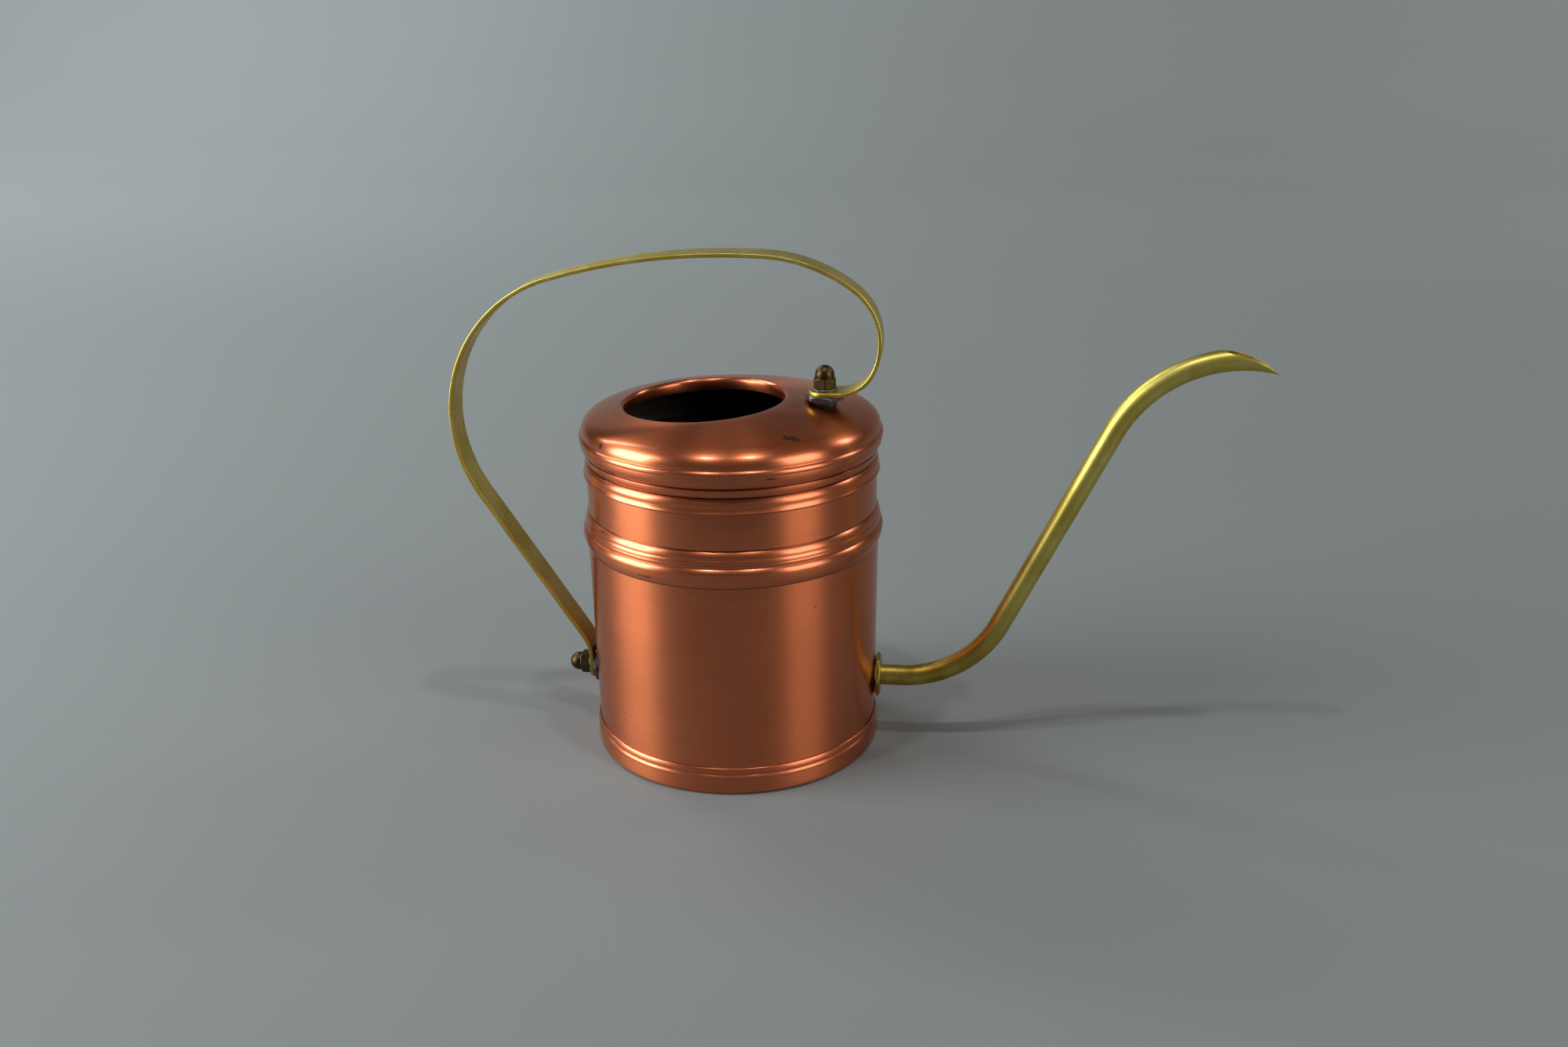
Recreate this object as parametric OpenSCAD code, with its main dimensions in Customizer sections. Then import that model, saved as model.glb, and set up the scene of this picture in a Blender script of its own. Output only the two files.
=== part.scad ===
// Indoor watering can: copper can with a domed top, brass strap handle and long swan-neck spout.
// +Z is up, +X points from the body to the spout, and the origin is the centre of the flat underside.

/* [Can body] */
// Diameter of the can just under the big rib
body_d = 110; // [88:1:132]
// How much narrower the radius is at the base band
body_taper = 1.1; // [0:0.1:3]
// Height of the crown of the domed top above the ground
body_h = 137.3; // [115:0.1:165]
// Sheet thickness of the can, its top and its base
sheet_t = 0.5; // [0.4:0.1:0.8]
// Sheet-to-sheet clearance where the top's skirt laps the neck
lap_gap = 0.1; // [0.05:0.05:0.2]
// How far the big rib stands proud of the can
rib_out = 1.6; // [1:0.1:2.5]
// Height of the big rib
rib_h = 13.6; // [8:0.1:18]
// Distance from the crown down to the top of the big rib
rib_drop = 41.9; // [38:0.1:50]
// How far the lower part of the rib bows out from its chord
rib_bow = 1.3; // [0.9:0.1:2]
// Height of the ledge's foot above the rib's foot
ledge_foot_h = 8.5; // [6:0.1:9.5]
// How far the ledge's foot stands proud of the can
ledge_out = 0.6; // [0.3:0.1:1]
// Height of the ledge
ledge_h = 2.4; // [1.6:0.1:3]
// How far the ledge bows out from its chord
ledge_bow = 0.35; // [0.2:0.05:0.6]
// How far the neck between rib and cap is set in from the can
neck_in = 0.7; // [0.3:0.1:1.5]
// Depth of the notch between the rib and the neck
notch_in = 1.1; // [0.6:0.1:1.5]
// Height over which the notch opens out to the neck
notch_h = 1; // [0.6:0.1:2]

/* [Base pan] */
// Height of the pan's skirt around the foot of the can
pan_h = 10.7; // [7:0.1:16]
// Height of the plain band below the skirt's rolled edge
pan_band_h = 6.6; // [4:0.1:6.8]
// Clearance between the pan's skirt and the foot of the can
pan_gap = 0.5; // [0.1:0.1:0.8]
// Radius of the pan's bottom edge
pan_edge_r = 1.6; // [1:0.1:3]

/* [Domed top] */
// Spherical radius of the crown
crown_r = 207; // [150:1:320]
// How far the crown's rim lies in from the can
crown_in = 3.5; // [3:0.1:5]
// Height of the rounded shoulder from the bead's upper crease to the crown's rim
shoulder_h = 5.3; // [4:0.1:7]
// How far the shoulder bows out from its chord
shoulder_bow = 1; // [0.6:0.1:1.4]
// Height of the bead
bead_h = 7.3; // [6:0.1:9]
// How far the bead bows out between its creases
bead_bow = 1; // [0.5:0.1:1.4]
// How far the bead's upper crease stands proud of the can
bead_top_out = 0.7; // [0.4:0.1:1]
// How far the bead's lower crease lies in from the can
bead_foot_in = 0.2; // [0:0.1:0.6]
// Height of the small ring under the bead
ring_h = 4.8; // [3:0.1:6]
// How far the ring bows out between its creases
ring_bow = 0.6; // [0.3:0.1:0.8]
// How far the groove under the ring lies in from the can
groove_in = 1.4; // [1:0.1:1.8]
// Height of the flare from the groove down to the skirt
flare_h = 2.6; // [2:0.1:4]
// How far the flare bows out from its chord
flare_bow = 0.25; // [0.15:0.05:0.4]
// Length of the plain skirt that laps the neck
skirt_h = 2; // [1.5:0.1:4]

/* [Filling mouth] */
// Diameter inside the mouth's rolled lip
mouth_d = 59.6; // [46:0.2:66]
// How far the mouth is set back from the can's axis
mouth_back = 10; // [7:0.5:13]
// Radius of the roll from the crown into the lip
lip_roll_r = 1.5; // [1:0.1:2.5]
// Depth of the lip below the crown
lip_depth = 4.6; // [3:0.1:8]

/* [Strap handle] */
// Width of the strap
strap_w = 12; // [9:0.5:16]
// Thickness of the strap
strap_t = 1.5; // [1:0.1:2.5]
// Distance of the top screw from the can's axis
top_screw_x = 35; // [32:0.5:38]
// Height of the rear screw
rear_screw_z = 25; // [20:0.5:40]
// Flat length of strap in front of the top screw
strap_flat = 4.8; // [4.8:0.1:8]
// Radius of the first bend of the front curl
curl_r1 = 14.6; // [12:0.1:22]
// Angle of the first bend of the front curl
curl_a1 = 62.8; // [55:0.1:85]
// Radius of the second bend of the front curl
curl_r2 = 24.2; // [20:0.1:34]
// Angle of the second bend of the front curl
curl_a2 = 80.3; // [65:0.1:90]
// Radius of the third bend, into the grip
curl_r3 = 58.9; // [50:0.1:85]
// Angle of the third bend, into the grip
curl_a3 = 34.5; // [25:0.1:40]
// Radius of the bowed grip
grip_r = 238; // [150:1:260]
// Angle of the bowed grip
grip_a = 18.7; // [10:0.1:20]
// Radius of the bend at the back of the handle
back_r = 55.5; // [45:0.1:57]
// Angle of the sloping leg from upright
leg_a = 32.7; // [25:0.1:40]
// Radius of the bend at the foot of the leg
foot_r = 15.4; // [12:0.1:30]
// Straight length of strap above the rear screw
foot_flat = 4.8; // [4.8:0.1:10]

/* [Spout] */
// Outside diameter of the spout tube
spout_d = 8; // [6:0.5:11]
// Bore of the spout tube
spout_bore = 6.6; // [4.6:0.1:8]
// Height of the spout's axis where it leaves the can
spout_z = 25; // [20:0.5:40]
// Straight length of tube outside the can
spout_root = 10; // [8:0.5:20]
// Radius of the spout's lower bend
spout_r1 = 41.3; // [30:0.1:60]
// Slope of the spout's neck above level
spout_slope = 64; // [55:0.5:75]
// Straight length of the neck
spout_neck = 86; // [60:0.5:110]
// Radius of the spout's upper bend
spout_r2 = 49.7; // [35:0.1:70]
// Angle of the spout's upper bend
spout_a2 = 76; // [66:0.5:85]
// Straight length of tube at the tip
spout_end = 2; // [1:0.5:6]
// Angle of the upper bend that the slanted cut takes away
cut_a = 21.5; // [16:0.5:28]
// Radius of the bowed cut
cut_r = 42; // [30:1:90]
// Clearance between tube and can
spout_gap = 0.15; // [0.1:0.05:0.3]

/* [Fixings] */
// Diameter of the two screws
screw_d = 5; // [4:0.5:6]
// Clearance between a screw and what it passes through
screw_gap = 0.15; // [0.1:0.05:0.3]
// Clearance between a screw's thread and its nut
thread_gap = 0.05; // [0.03:0.01:0.1]
// Cap nut, across flats
cap_af = 8; // [7:0.5:10]
// Height of the cap nut's hexagon
cap_hex_h = 3.6; // [3:0.1:5]
// Whole height of the cap nut
cap_h = 8.4; // [7.8:0.1:11]
// Thin hexagon spacer under the strap, across flats
spacer_af = 13; // [10:0.5:16]
// Thickness of the hexagon spacer
spacer_t = 2.2; // [1.5:0.1:3]
// Diameter of a plain washer
washer_d = 9; // [8:0.5:12]
// Thickness of a plain washer
washer_t = 0.8; // [0.5:0.1:1.2]
// Least thickness of a rubber seal
seal_t = 0.3; // [0.2:0.1:1]
// How far a seal stays clear of the curved sheet
seal_gap = 0.05; // [0.02:0.01:0.1]
// Diameter of a screw's head
head_d = 8.5; // [8:0.5:10]
// Height of a screw's head
head_h = 2.6; // [2:0.1:4]
// Spout nuts, across flats
spout_af = 15; // [13:0.5:19]
// Thickness of a spout nut
spout_nut_t = 2.2; // [1.8:0.1:4]

/* [Hidden] */
$fn = 96;
weld = 0.3;
hair = 0.02;
chord_sag = 0.03;

// Small details: the pan's rolled edge, the cap nut's dome, the seals' seats and the tools' overcut
pan_fold_out = 0.05;
pan_fold_h = 0.15;
pan_fold_in = 0.35;
pan_fold_bow = 0.55;
pan_lap_in = 0.15;
pan_lap_h = 0.6;
pan_lap_slope_h = 1.4;
pan_fillet_share = 0.8;
neck_lap_in = 0.3;
tongue_t = 0.35;
tongue_l = 1;
lip_tongue_l = 0.6;
lip_fillet_h = 0.2;
dome_share = 0.45;
dome_bore_share = 0.75;
screw_end_gap = 0.5;
spacer_turn = 20;
seal_stock = 8;
spout_seal_in = 0.5;
spout_inside_l = 2;
overcut = 1;
cutter_drop = 3;
cutter_h = 20;
round_fn = 180;
fine_fn = 360;
seat_fn = 720;

copper = "#b4623f";
brass = "#a8923f";
bronze = "#5a4428";
steel = "#9a9c9e";
rubber = "#26262a";

// Can outline, from the driving sizes
body_r = body_d / 2;
foot_r_out = body_r - body_taper;
rib_top_z = body_h - rib_drop;
rib_foot_z = rib_top_z - rib_h;
neck_r = body_r - neck_in;
pan_in_r = foot_r_out + pan_gap;
pan_r = pan_in_r + sheet_t;
pan_fillet = pan_gap * pan_fillet_share;

// Radius of the tapered wall at height z
function wall_r(z) = foot_r_out + body_taper * (z - pan_h) / (rib_foot_z - pan_h);

// Domed top, from its crown down
crown_rim_r = body_r - crown_in;
crown_c = body_h - crown_r;
function crown_z(r) = crown_c + sqrt(crown_r * crown_r - r * r);
bead_top = [body_r + bead_top_out, crown_z(crown_rim_r) - shoulder_h];
bead_foot = [body_r - bead_foot_in, bead_top[1] - bead_h];
groove = [body_r - groove_in, bead_foot[1] - ring_h];
skirt_r = neck_r + lap_gap + sheet_t;
skirt_top_z = groove[1] - flare_h;
skirt_foot_z = skirt_top_z - skirt_h;
mouth_tilt = asin(mouth_back / crown_r);

// Points of a circular arc from a to b that bows out to the right of the way a to b by bow
function arc(a, b, bow, n = 10) =
    let (d = b - a, l = norm(d), u = [d[1], -d[0]] / l,
         r = (l * l / 4 + bow * bow) / (2 * bow), h = asin(l / (2 * r)),
         c = (a + b) / 2 - u * (r - bow))
    [for (i = [0:n])
        let (t = -h + 2 * h * i / n) c + r * (cos(t) * u + sin(t) * d / l)];

// Inner face of a sheet: each point moved by t to the left of the way along the outline
function inward(p, t) =
    [for (i = [0:len(p) - 1])
        let (a = p[max(i - 1, 0)], b = p[min(i + 1, len(p) - 1)], d = (b - a) / norm(b - a))
        [max(0, p[i][0] - t * d[1]), p[i][1] + t * d[0]]];

function backwards(p) = [for (i = [len(p) - 1:-1:0]) p[i]];

// Drops a point that repeats the one before it
function unrepeated(p) = [for (i = [0:len(p) - 1]) if (i == 0 || norm(p[i] - p[i - 1]) > 1e-4) p[i]];

// Handle: stack of pieces under the top screw's head and behind the rear screw's
seal_r = washer_d / 2;
top_spacer_z = crown_z(top_screw_x - spacer_af / 2 / cos(30)) + seal_gap;
top_strap_z = top_spacer_z + spacer_t;
rear_spacer_x = wall_r(rear_screw_z + seal_r) + seal_t;
rear_strap_x = rear_spacer_x + spacer_t;
screw_hole_r = screw_d / 2 + screw_gap;
inner_seal_top_z = crown_z(top_screw_x + seal_r) - sheet_t - seal_t;
rear_low_r = wall_r(rear_screw_z - seal_r) - sheet_t;
inner_seal_rear_x = sqrt(rear_low_r * rear_low_r - seal_r * seal_r) - seal_t;

dome_r = cap_af * dome_share;
cap_room = cap_h - dome_r * dome_bore_share - screw_end_gap;
top_nut_z = top_strap_z + strap_t + washer_t;
top_head_z = inner_seal_top_z - washer_t;
rear_nut_x = rear_strap_x + strap_t + washer_t;
rear_head_x = inner_seal_rear_x - washer_t;

// Closing the handle: the level grip and the sloping leg take up what the bends leave over.
// Each step is ["line", length] or ["bend", radius, angle], with left turns positive.
back_a = 270 + leg_a - curl_a1 - curl_a2 - curl_a3 - grip_a;
grip_heading = curl_a1 + curl_a2 + curl_a3;
leg_heading = 270 + leg_a;

function turn(p, a) = [p[0] * cos(a) - p[1] * sin(a), p[0] * sin(a) + p[1] * cos(a)];
function step_end(s) = s[0] == "line"
    ? [s[1], 0] : [s[1] * sin(abs(s[2])), sign(s[2]) * s[1] * (1 - cos(s[2]))];
function step_turn(s) = s[0] == "line" ? 0 : s[2];
function path_end(s, i = 0, p = [0, 0], a = 0) =
    i == len(s) ? p : path_end(s, i + 1, p + turn(step_end(s[i]), a), a + step_turn(s[i]));

function strap_steps(grip_l, leg_l) = [
    ["line", strap_w / 2 + strap_flat], ["bend", curl_r1, curl_a1], ["bend", curl_r2, curl_a2],
    ["bend", curl_r3, curl_a3], ["line", grip_l], ["bend", grip_r, grip_a],
    ["bend", back_r, back_a], ["line", leg_l], ["bend", foot_r, -leg_a], ["line", foot_flat + strap_w / 2]
];
strap_from = [top_screw_x - strap_w / 2, top_strap_z + strap_t / 2];
strap_to = [-rear_strap_x - strap_t / 2, rear_screw_z - strap_w / 2];
left_over = strap_to - strap_from - path_end(strap_steps(0, 0));
grip_dir = [cos(grip_heading), sin(grip_heading)];
leg_dir = [cos(leg_heading), sin(leg_heading)];
cross_dir = grip_dir[0] * leg_dir[1] - grip_dir[1] * leg_dir[0];
grip_len = (left_over[0] * leg_dir[1] - left_over[1] * leg_dir[0]) / cross_dir;
leg_len = (grip_dir[0] * left_over[1] - grip_dir[1] * left_over[0]) / cross_dir;

// Spout: stack of pieces at the can's wall
spout_hole_r = spout_d / 2 + spout_gap;
spout_seal_r = spout_af / 2 - spout_seal_in;
spout_flange_x = wall_r(spout_z + spout_seal_r) + seal_t;
spout_outer_x = spout_flange_x + spout_nut_t;
spout_low_r = wall_r(spout_z - spout_seal_r) - sheet_t;
spout_inner_x = sqrt(spout_low_r * spout_low_r - spout_seal_r * spout_seal_r) - seal_t;
spout_lock_x = spout_inner_x - washer_t - spout_nut_t;
spout_start_x = spout_lock_x - spout_inside_l;

// A path of steps in the plane of the first two axes, each drawn by its child shape as a section.
// Every step reaches back into the one before it by the weld, so the metal is one piece, and the
// section reads $shy, a hair taken off every other step, so that no two surfaces graze each other.
module along(steps, i = 0) {
    if (i < len(steps)) {
        s = steps[i];
        $shy = i % 2 * hair;
        back = i == 0 ? 0 : weld;
        if (s[0] == "line")
            translate([-back, 0, 0]) rotate([90, 0, 90]) linear_extrude(s[1] + back) children();
        else
            mirror([0, s[2] < 0 ? 1 : 0, 0])
                translate([0, s[1], 0]) rotate([0, 0, -90 - back / s[1] * 180 / PI])
                    rotate_extrude(angle = abs(s[2]) + back / s[1] * 180 / PI)
                        translate([s[1], 0]) children();
        e = step_end(s);
        translate([e[0], e[1], 0]) rotate([0, 0, step_turn(s)]) along(steps, i + 1) children();
    }
}

// Turns a path's plane upright, with its first axis along X and its second along Z
module upright() rotate([90, 0, 0]) children();

// Turns a stack built along +Z to point along -X at the rear, or along +X at the spout
module to_rear(x, z) translate([-x, 0, z]) rotate([0, -90, 0]) children();
module to_front(x, z) translate([x, 0, z]) rotate([0, 90, 0]) children();

// Places a stack at a height on the top screw's axis
module at_top(z) translate([top_screw_x, 0, z]) children();

module ring(r_out, r_in, h) difference() {
    cylinder(r = r_out, h = h);
    translate([0, 0, -overcut]) cylinder(r = r_in, h = h + 2 * overcut);
}

module hexagon(af, h) cylinder(r = af / 2 / cos(30), h = h, $fn = 6);

module hexagon_nut(af, r_in, h) difference() {
    hexagon(af, h);
    translate([0, 0, -overcut]) cylinder(r = r_in, h = h + 2 * overcut);
}

// Solid inside of the can's tapered wall, in by depth t
module wall_solid(t) {
    z1 = pan_h;
    z2 = rib_foot_z;
    translate([0, 0, z1]) cylinder(r1 = wall_r(z1) - t, r2 = wall_r(z2) - t, h = z2 - z1, $fn = seat_fn);
}

module base_pan() color(copper) {
    outer = concat(
        arc([pan_r - pan_edge_r, 0], [pan_r, pan_edge_r], pan_edge_r * (1 - sqrt(0.5)), 8),
        [[pan_r, pan_band_h]],
        arc([pan_r + pan_fold_out, pan_band_h + pan_fold_h], [foot_r_out + pan_fold_in, pan_h],
            pan_fold_bow, 8)
    );
    lap_r = foot_r_out + pan_lap_in;
    rotate_extrude($fn = round_fn) polygon(unrepeated(concat(
        [[0, 0]], outer,
        [[lap_r, pan_h], [lap_r, pan_h - pan_lap_h], [pan_in_r, pan_h - pan_lap_slope_h],
         [pan_in_r, sheet_t + pan_fillet], [pan_in_r - pan_fillet, sheet_t], [0, sheet_t]]
    )));
}

module body_shell() color(copper) {
    ledge_foot = [body_r + ledge_out, rib_foot_z + ledge_foot_h];
    ledge_top = [body_r, rib_foot_z + ledge_foot_h + ledge_h];
    rib = concat(
        arc([body_r, rib_foot_z], ledge_foot, rib_bow, 14),
        arc(ledge_foot, ledge_top, ledge_bow, 6),
        [[neck_r - notch_in, rib_top_z]]
    );
    outer = unrepeated(concat(
        [[foot_r_out, sheet_t], [foot_r_out, pan_h]], rib,
        [[neck_r, rib_top_z + notch_h], [neck_r, skirt_top_z - neck_lap_in]]
    ));
    difference() {
        rotate_extrude($fn = round_fn) polygon(concat(outer, backwards(inward(outer, sheet_t))));
        to_front(body_r / 2, spout_z) cylinder(r = spout_hole_r, h = body_r);
        to_rear(body_r / 2, rear_screw_z) cylinder(r = screw_hole_r, h = body_r);
    }
}

// Outline of the domed top's side, from its lower edge to the rim of the crown
function side_outline() = unrepeated(concat(
    [[skirt_r, skirt_foot_z], [skirt_r, skirt_top_z]],
    arc([skirt_r, skirt_top_z], groove, flare_bow, 5),
    arc(groove, bead_foot, ring_bow, 8),
    arc(bead_foot, bead_top, bead_bow, 12),
    arc(bead_top, [crown_rim_r, crown_z(crown_rim_r)], shoulder_bow, 12)
));

// Section of a tongue that welds a sheet to the one at radius r whose outer face is at height z
function tongue(r, z, reach) = [
    [r, z - hair], [r + reach, z - sheet_t * tongue_t],
    [r + reach, z - sheet_t * (1 - tongue_t)], [r, z - sheet_t + hair]
];

// Places a child on the crown, square to it at the mouth
module at_mouth() translate([0, 0, crown_c]) rotate([0, -mouth_tilt, 0]) children();

module crown_ball(r) translate([0, 0, crown_c]) sphere(r = r, $fn = fine_fn);

module domed_top() color(copper) {
    side = side_outline();
    side_in = inward(side, sheet_t);
    bent = [for (i = [0:len(side) - 2]) side[i]];
    sheet_in = backwards([for (i = [0:len(side) - 2]) side_in[i]]);
    difference() {
        union() {
            rotate_extrude($fn = round_fn)
                polygon(concat(bent, tongue(crown_rim_r, crown_z(crown_rim_r), -tongue_l), sheet_in));
            intersection() {
                difference() {
                    crown_ball(crown_r);
                    crown_ball(crown_r - sheet_t);
                }
                cylinder(r = crown_rim_r, h = body_h + overcut, $fn = round_fn);
            }
        }
        at_mouth() cylinder(r = mouth_d / 2 + lip_roll_r, h = crown_r + overcut, $fn = round_fn);
        translate([top_screw_x, 0, 0]) cylinder(r = screw_hole_r, h = body_h + overcut);
    }
    at_mouth() mouth_lip();
}

// Rolled lip: a quarter turn from the crown down into a short collar
module mouth_lip() {
    r = mouth_d / 2;
    ro = r + lip_roll_r;
    top = sqrt(crown_r * crown_r - ro * ro);
    bottom = top - lip_depth;
    rotate_extrude($fn = round_fn) polygon(concat(
        arc([r, top - hair - lip_roll_r], [ro, top - hair], -lip_roll_r * (1 - sqrt(0.5)), 8),
        [for (i = [1:3]) tongue(ro, top, lip_tongue_l)[i]],
        [[r + sheet_t, top - lip_roll_r - lip_fillet_h], [r + sheet_t, bottom], [r, bottom]]
    ));
}

// Points of a path moved by t to the left of it, with bends as chords that stray less than the sag
function path_points(s, t, i = 0, p = [0, 0], a = 0) =
    i == len(s) ? [] : concat(
        s[i][0] == "line"
            ? [p + turn([0, t], a), p + turn([s[i][1], t], a)]
            : let (n = ceil(abs(s[i][2]) / (2 * acos(1 - chord_sag / s[i][1]))), way = sign(s[i][2]))
              [for (k = [0:n]) let (b = s[i][2] * k / n)
                  p + turn([0, way * s[i][1]] + (way * s[i][1] - t) * [sin(b), -cos(b)], a)],
        path_points(s, t, i + 1, p + turn(step_end(s[i]), a), a + step_turn(s[i]))
    );

// What rounds the end of the strap about a screw: the corners outside its half-round
module strap_corners() difference() {
    translate([-strap_w, -strap_w, -overcut]) cube([strap_w, 2 * strap_w, strap_t + 2 * overcut]);
    translate([0, 0, -2 * overcut]) cylinder(r = strap_w / 2, h = strap_t + 4 * overcut);
}

module handle_strap() color(brass) {
    steps = strap_steps(grip_len, leg_len);
    inner = path_points(steps, strap_t / 2);
    outline = unrepeated(concat(path_points(steps, -strap_t / 2), backwards(inner)));
    difference() {
        translate([strap_from[0], strap_w / 2, strap_from[1]]) upright()
            linear_extrude(strap_w) polygon(outline);
        at_top(top_strap_z) strap_corners();
        to_rear(rear_strap_x, rear_screw_z) strap_corners();
        at_top(top_strap_z - overcut) cylinder(r = screw_hole_r, h = strap_t + 2 * overcut);
        to_rear(rear_strap_x - overcut, rear_screw_z) cylinder(r = screw_hole_r, h = strap_t + 2 * overcut);
    }
}

// Cap nut standing on z = 0, hollow for the screw's end
module cap_nut() {
    difference() {
        union() {
            hexagon(cap_af, cap_hex_h);
            cylinder(r = dome_r, h = cap_h - dome_r);
            translate([0, 0, cap_h - dome_r]) sphere(r = dome_r);
        }
        translate([0, 0, -overcut])
            cylinder(r = screw_d / 2 + thread_gap, h = cap_h - dome_r * dome_bore_share + overcut);
    }
}

// Screw from its inner head at z = 0 up to length l inside the cap nut
module screw(l) {
    cylinder(r = screw_d / 2, h = l);
    translate([0, 0, -head_h]) cylinder(r = head_d / 2, h = head_h);
}

module plain_washer() ring(washer_d / 2, screw_hole_r, washer_t);

module top_cap_nut() color(bronze) at_top(top_nut_z) cap_nut();
module top_washer() color(steel) at_top(top_strap_z + strap_t) plain_washer();
module top_spacer_nut() color(steel) at_top(top_spacer_z)
    rotate([0, 0, spacer_turn]) hexagon_nut(spacer_af, screw_hole_r, spacer_t);
module top_seal() color(rubber) difference() {
    at_top(top_spacer_z - seal_stock) ring(seal_r, screw_hole_r, seal_stock);
    crown_ball(crown_r + seal_gap);
}
module top_inner_seal() color(rubber) intersection() {
    at_top(inner_seal_top_z) ring(seal_r, screw_hole_r, seal_stock);
    crown_ball(crown_r - sheet_t - seal_gap);
}
module top_inner_washer() color(steel) at_top(top_head_z) plain_washer();
module top_screw() color(steel) at_top(top_head_z) screw(top_nut_z + cap_room - top_head_z);

module rear_cap_nut() color(bronze) to_rear(rear_nut_x, rear_screw_z) cap_nut();
module rear_washer() color(steel) to_rear(rear_strap_x + strap_t, rear_screw_z) plain_washer();
module rear_spacer_nut() color(steel)
    to_rear(rear_spacer_x, rear_screw_z) hexagon_nut(spacer_af, screw_hole_r, spacer_t);
module rear_seal() color(rubber) difference() {
    to_rear(rear_spacer_x - seal_stock, rear_screw_z) ring(seal_r, screw_hole_r, seal_stock);
    wall_solid(-seal_gap);
}
module rear_inner_seal() color(rubber) intersection() {
    to_rear(inner_seal_rear_x, rear_screw_z) ring(seal_r, screw_hole_r, seal_stock);
    wall_solid(sheet_t + seal_gap);
}
module rear_inner_washer() color(steel) to_rear(rear_head_x, rear_screw_z) plain_washer();
module rear_screw() color(steel)
    to_rear(rear_head_x, rear_screw_z) screw(rear_nut_x + cap_room - rear_head_x);

spout_steps = [
    ["line", spout_outer_x - spout_start_x + spout_root - spout_nut_t],
    ["bend", spout_r1, spout_slope], ["line", spout_neck],
    ["bend", spout_r2, -spout_a2], ["line", spout_end]
];
spout_top = [spout_start_x, spout_z] + path_end([for (i = [0:2]) spout_steps[i]]);
bend_c = spout_top + spout_r2 * [sin(spout_slope), -cos(spout_slope)];
tip_heading = spout_slope - spout_a2;
cut_heading = tip_heading + cut_a;
cut_from = bend_c + (spout_r2 + spout_d / 2) * [-sin(cut_heading), cos(cut_heading)];
cut_to = bend_c + (spout_r2 - spout_d / 2) * [-sin(tip_heading), cos(tip_heading)]
    + spout_end * [cos(tip_heading), sin(tip_heading)];

// Everything above the bowed line from the start of the cut to the tip
module tip_cutter() {
    chord = cut_to - cut_from;
    l = norm(chord);
    down = [chord[1], -chord[0]] / l;
    c = (cut_from + cut_to) / 2 + down * sqrt(cut_r * cut_r - l * l / 4);
    difference() {
        translate([cut_from[0], -spout_d, min(cut_to[1], cut_from[1]) - cutter_drop])
            cube([l + spout_d, 2 * spout_d, cutter_h]);
        translate([c[0], 0, c[1]]) rotate([90, 0, 0])
            cylinder(r = cut_r, h = 4 * spout_d, center = true, $fn = round_fn);
    }
}

// Solid rod along the spout's path
module spout_rod(r) translate([spout_start_x, 0, spout_z]) upright()
    along(spout_steps) circle(r = r - $shy);

module spout_tube() color(brass) difference() {
    spout_rod(spout_d / 2);
    spout_rod(spout_bore / 2);
    tip_cutter();
}

module spout_nut() hexagon_nut(spout_af, spout_d / 2 + thread_gap, spout_nut_t);

module spout_flange_nut() color(brass) to_front(spout_flange_x, spout_z) spout_nut();
module spout_seal() color(rubber) difference() {
    to_front(spout_flange_x - seal_stock, spout_z) ring(spout_seal_r, spout_hole_r, seal_stock);
    wall_solid(-seal_gap);
}
module spout_inner_seal() color(rubber) intersection() {
    to_front(spout_inner_x, spout_z) ring(spout_seal_r, spout_hole_r, seal_stock);
    wall_solid(sheet_t + seal_gap);
}
module spout_inner_washer() color(brass)
    to_front(spout_inner_x - washer_t, spout_z) ring(spout_seal_r, spout_hole_r, washer_t);
module spout_lock_nut() color(brass) to_front(spout_lock_x, spout_z) spout_nut();

base_pan();
body_shell();
domed_top();
handle_strap();
top_cap_nut();
top_washer();
top_spacer_nut();
top_seal();
top_inner_seal();
top_inner_washer();
top_screw();
rear_cap_nut();
rear_washer();
rear_spacer_nut();
rear_seal();
rear_inner_seal();
rear_inner_washer();
rear_screw();
spout_tube();
spout_flange_nut();
spout_seal();
spout_inner_seal();
spout_inner_washer();
spout_lock_nut();
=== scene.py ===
"""Looks of an indoor watering can: copper body, brass strap handle and swan-neck spout.

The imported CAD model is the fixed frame. Every visible part is built again here as a fine mesh in
the place that its CAD node holds, and dressed in a procedural finish. Lengths inside the classes
are millimetres; the meshes are written in metres.
"""

import logging
import math
from dataclasses import dataclass, field
from enum import Enum
from typing import Any, Callable, Sequence

import bmesh
import bpy
from mathutils import Matrix, Vector

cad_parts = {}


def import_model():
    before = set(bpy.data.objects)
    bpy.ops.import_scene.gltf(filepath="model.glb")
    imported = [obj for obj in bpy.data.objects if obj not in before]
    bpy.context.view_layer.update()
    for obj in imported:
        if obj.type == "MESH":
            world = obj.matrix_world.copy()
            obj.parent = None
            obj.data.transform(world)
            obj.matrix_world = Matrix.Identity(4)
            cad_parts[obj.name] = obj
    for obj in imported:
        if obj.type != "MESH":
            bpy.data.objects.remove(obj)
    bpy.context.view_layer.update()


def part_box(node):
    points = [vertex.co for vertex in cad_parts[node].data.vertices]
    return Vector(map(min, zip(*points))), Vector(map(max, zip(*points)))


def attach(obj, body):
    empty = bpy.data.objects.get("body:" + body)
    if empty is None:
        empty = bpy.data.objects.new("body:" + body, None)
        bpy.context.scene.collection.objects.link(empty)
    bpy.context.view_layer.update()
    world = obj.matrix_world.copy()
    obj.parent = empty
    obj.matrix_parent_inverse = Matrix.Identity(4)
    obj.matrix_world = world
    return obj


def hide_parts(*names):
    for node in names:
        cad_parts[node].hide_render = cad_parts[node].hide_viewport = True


LOG = logging.getLogger("watering_can")
MM = 0.001
ROUND = 192
TUBE_ROUND = 64
HEX_ROUND = 144
DISC_ROUND = 96
CUT_STEPS = 18
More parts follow.
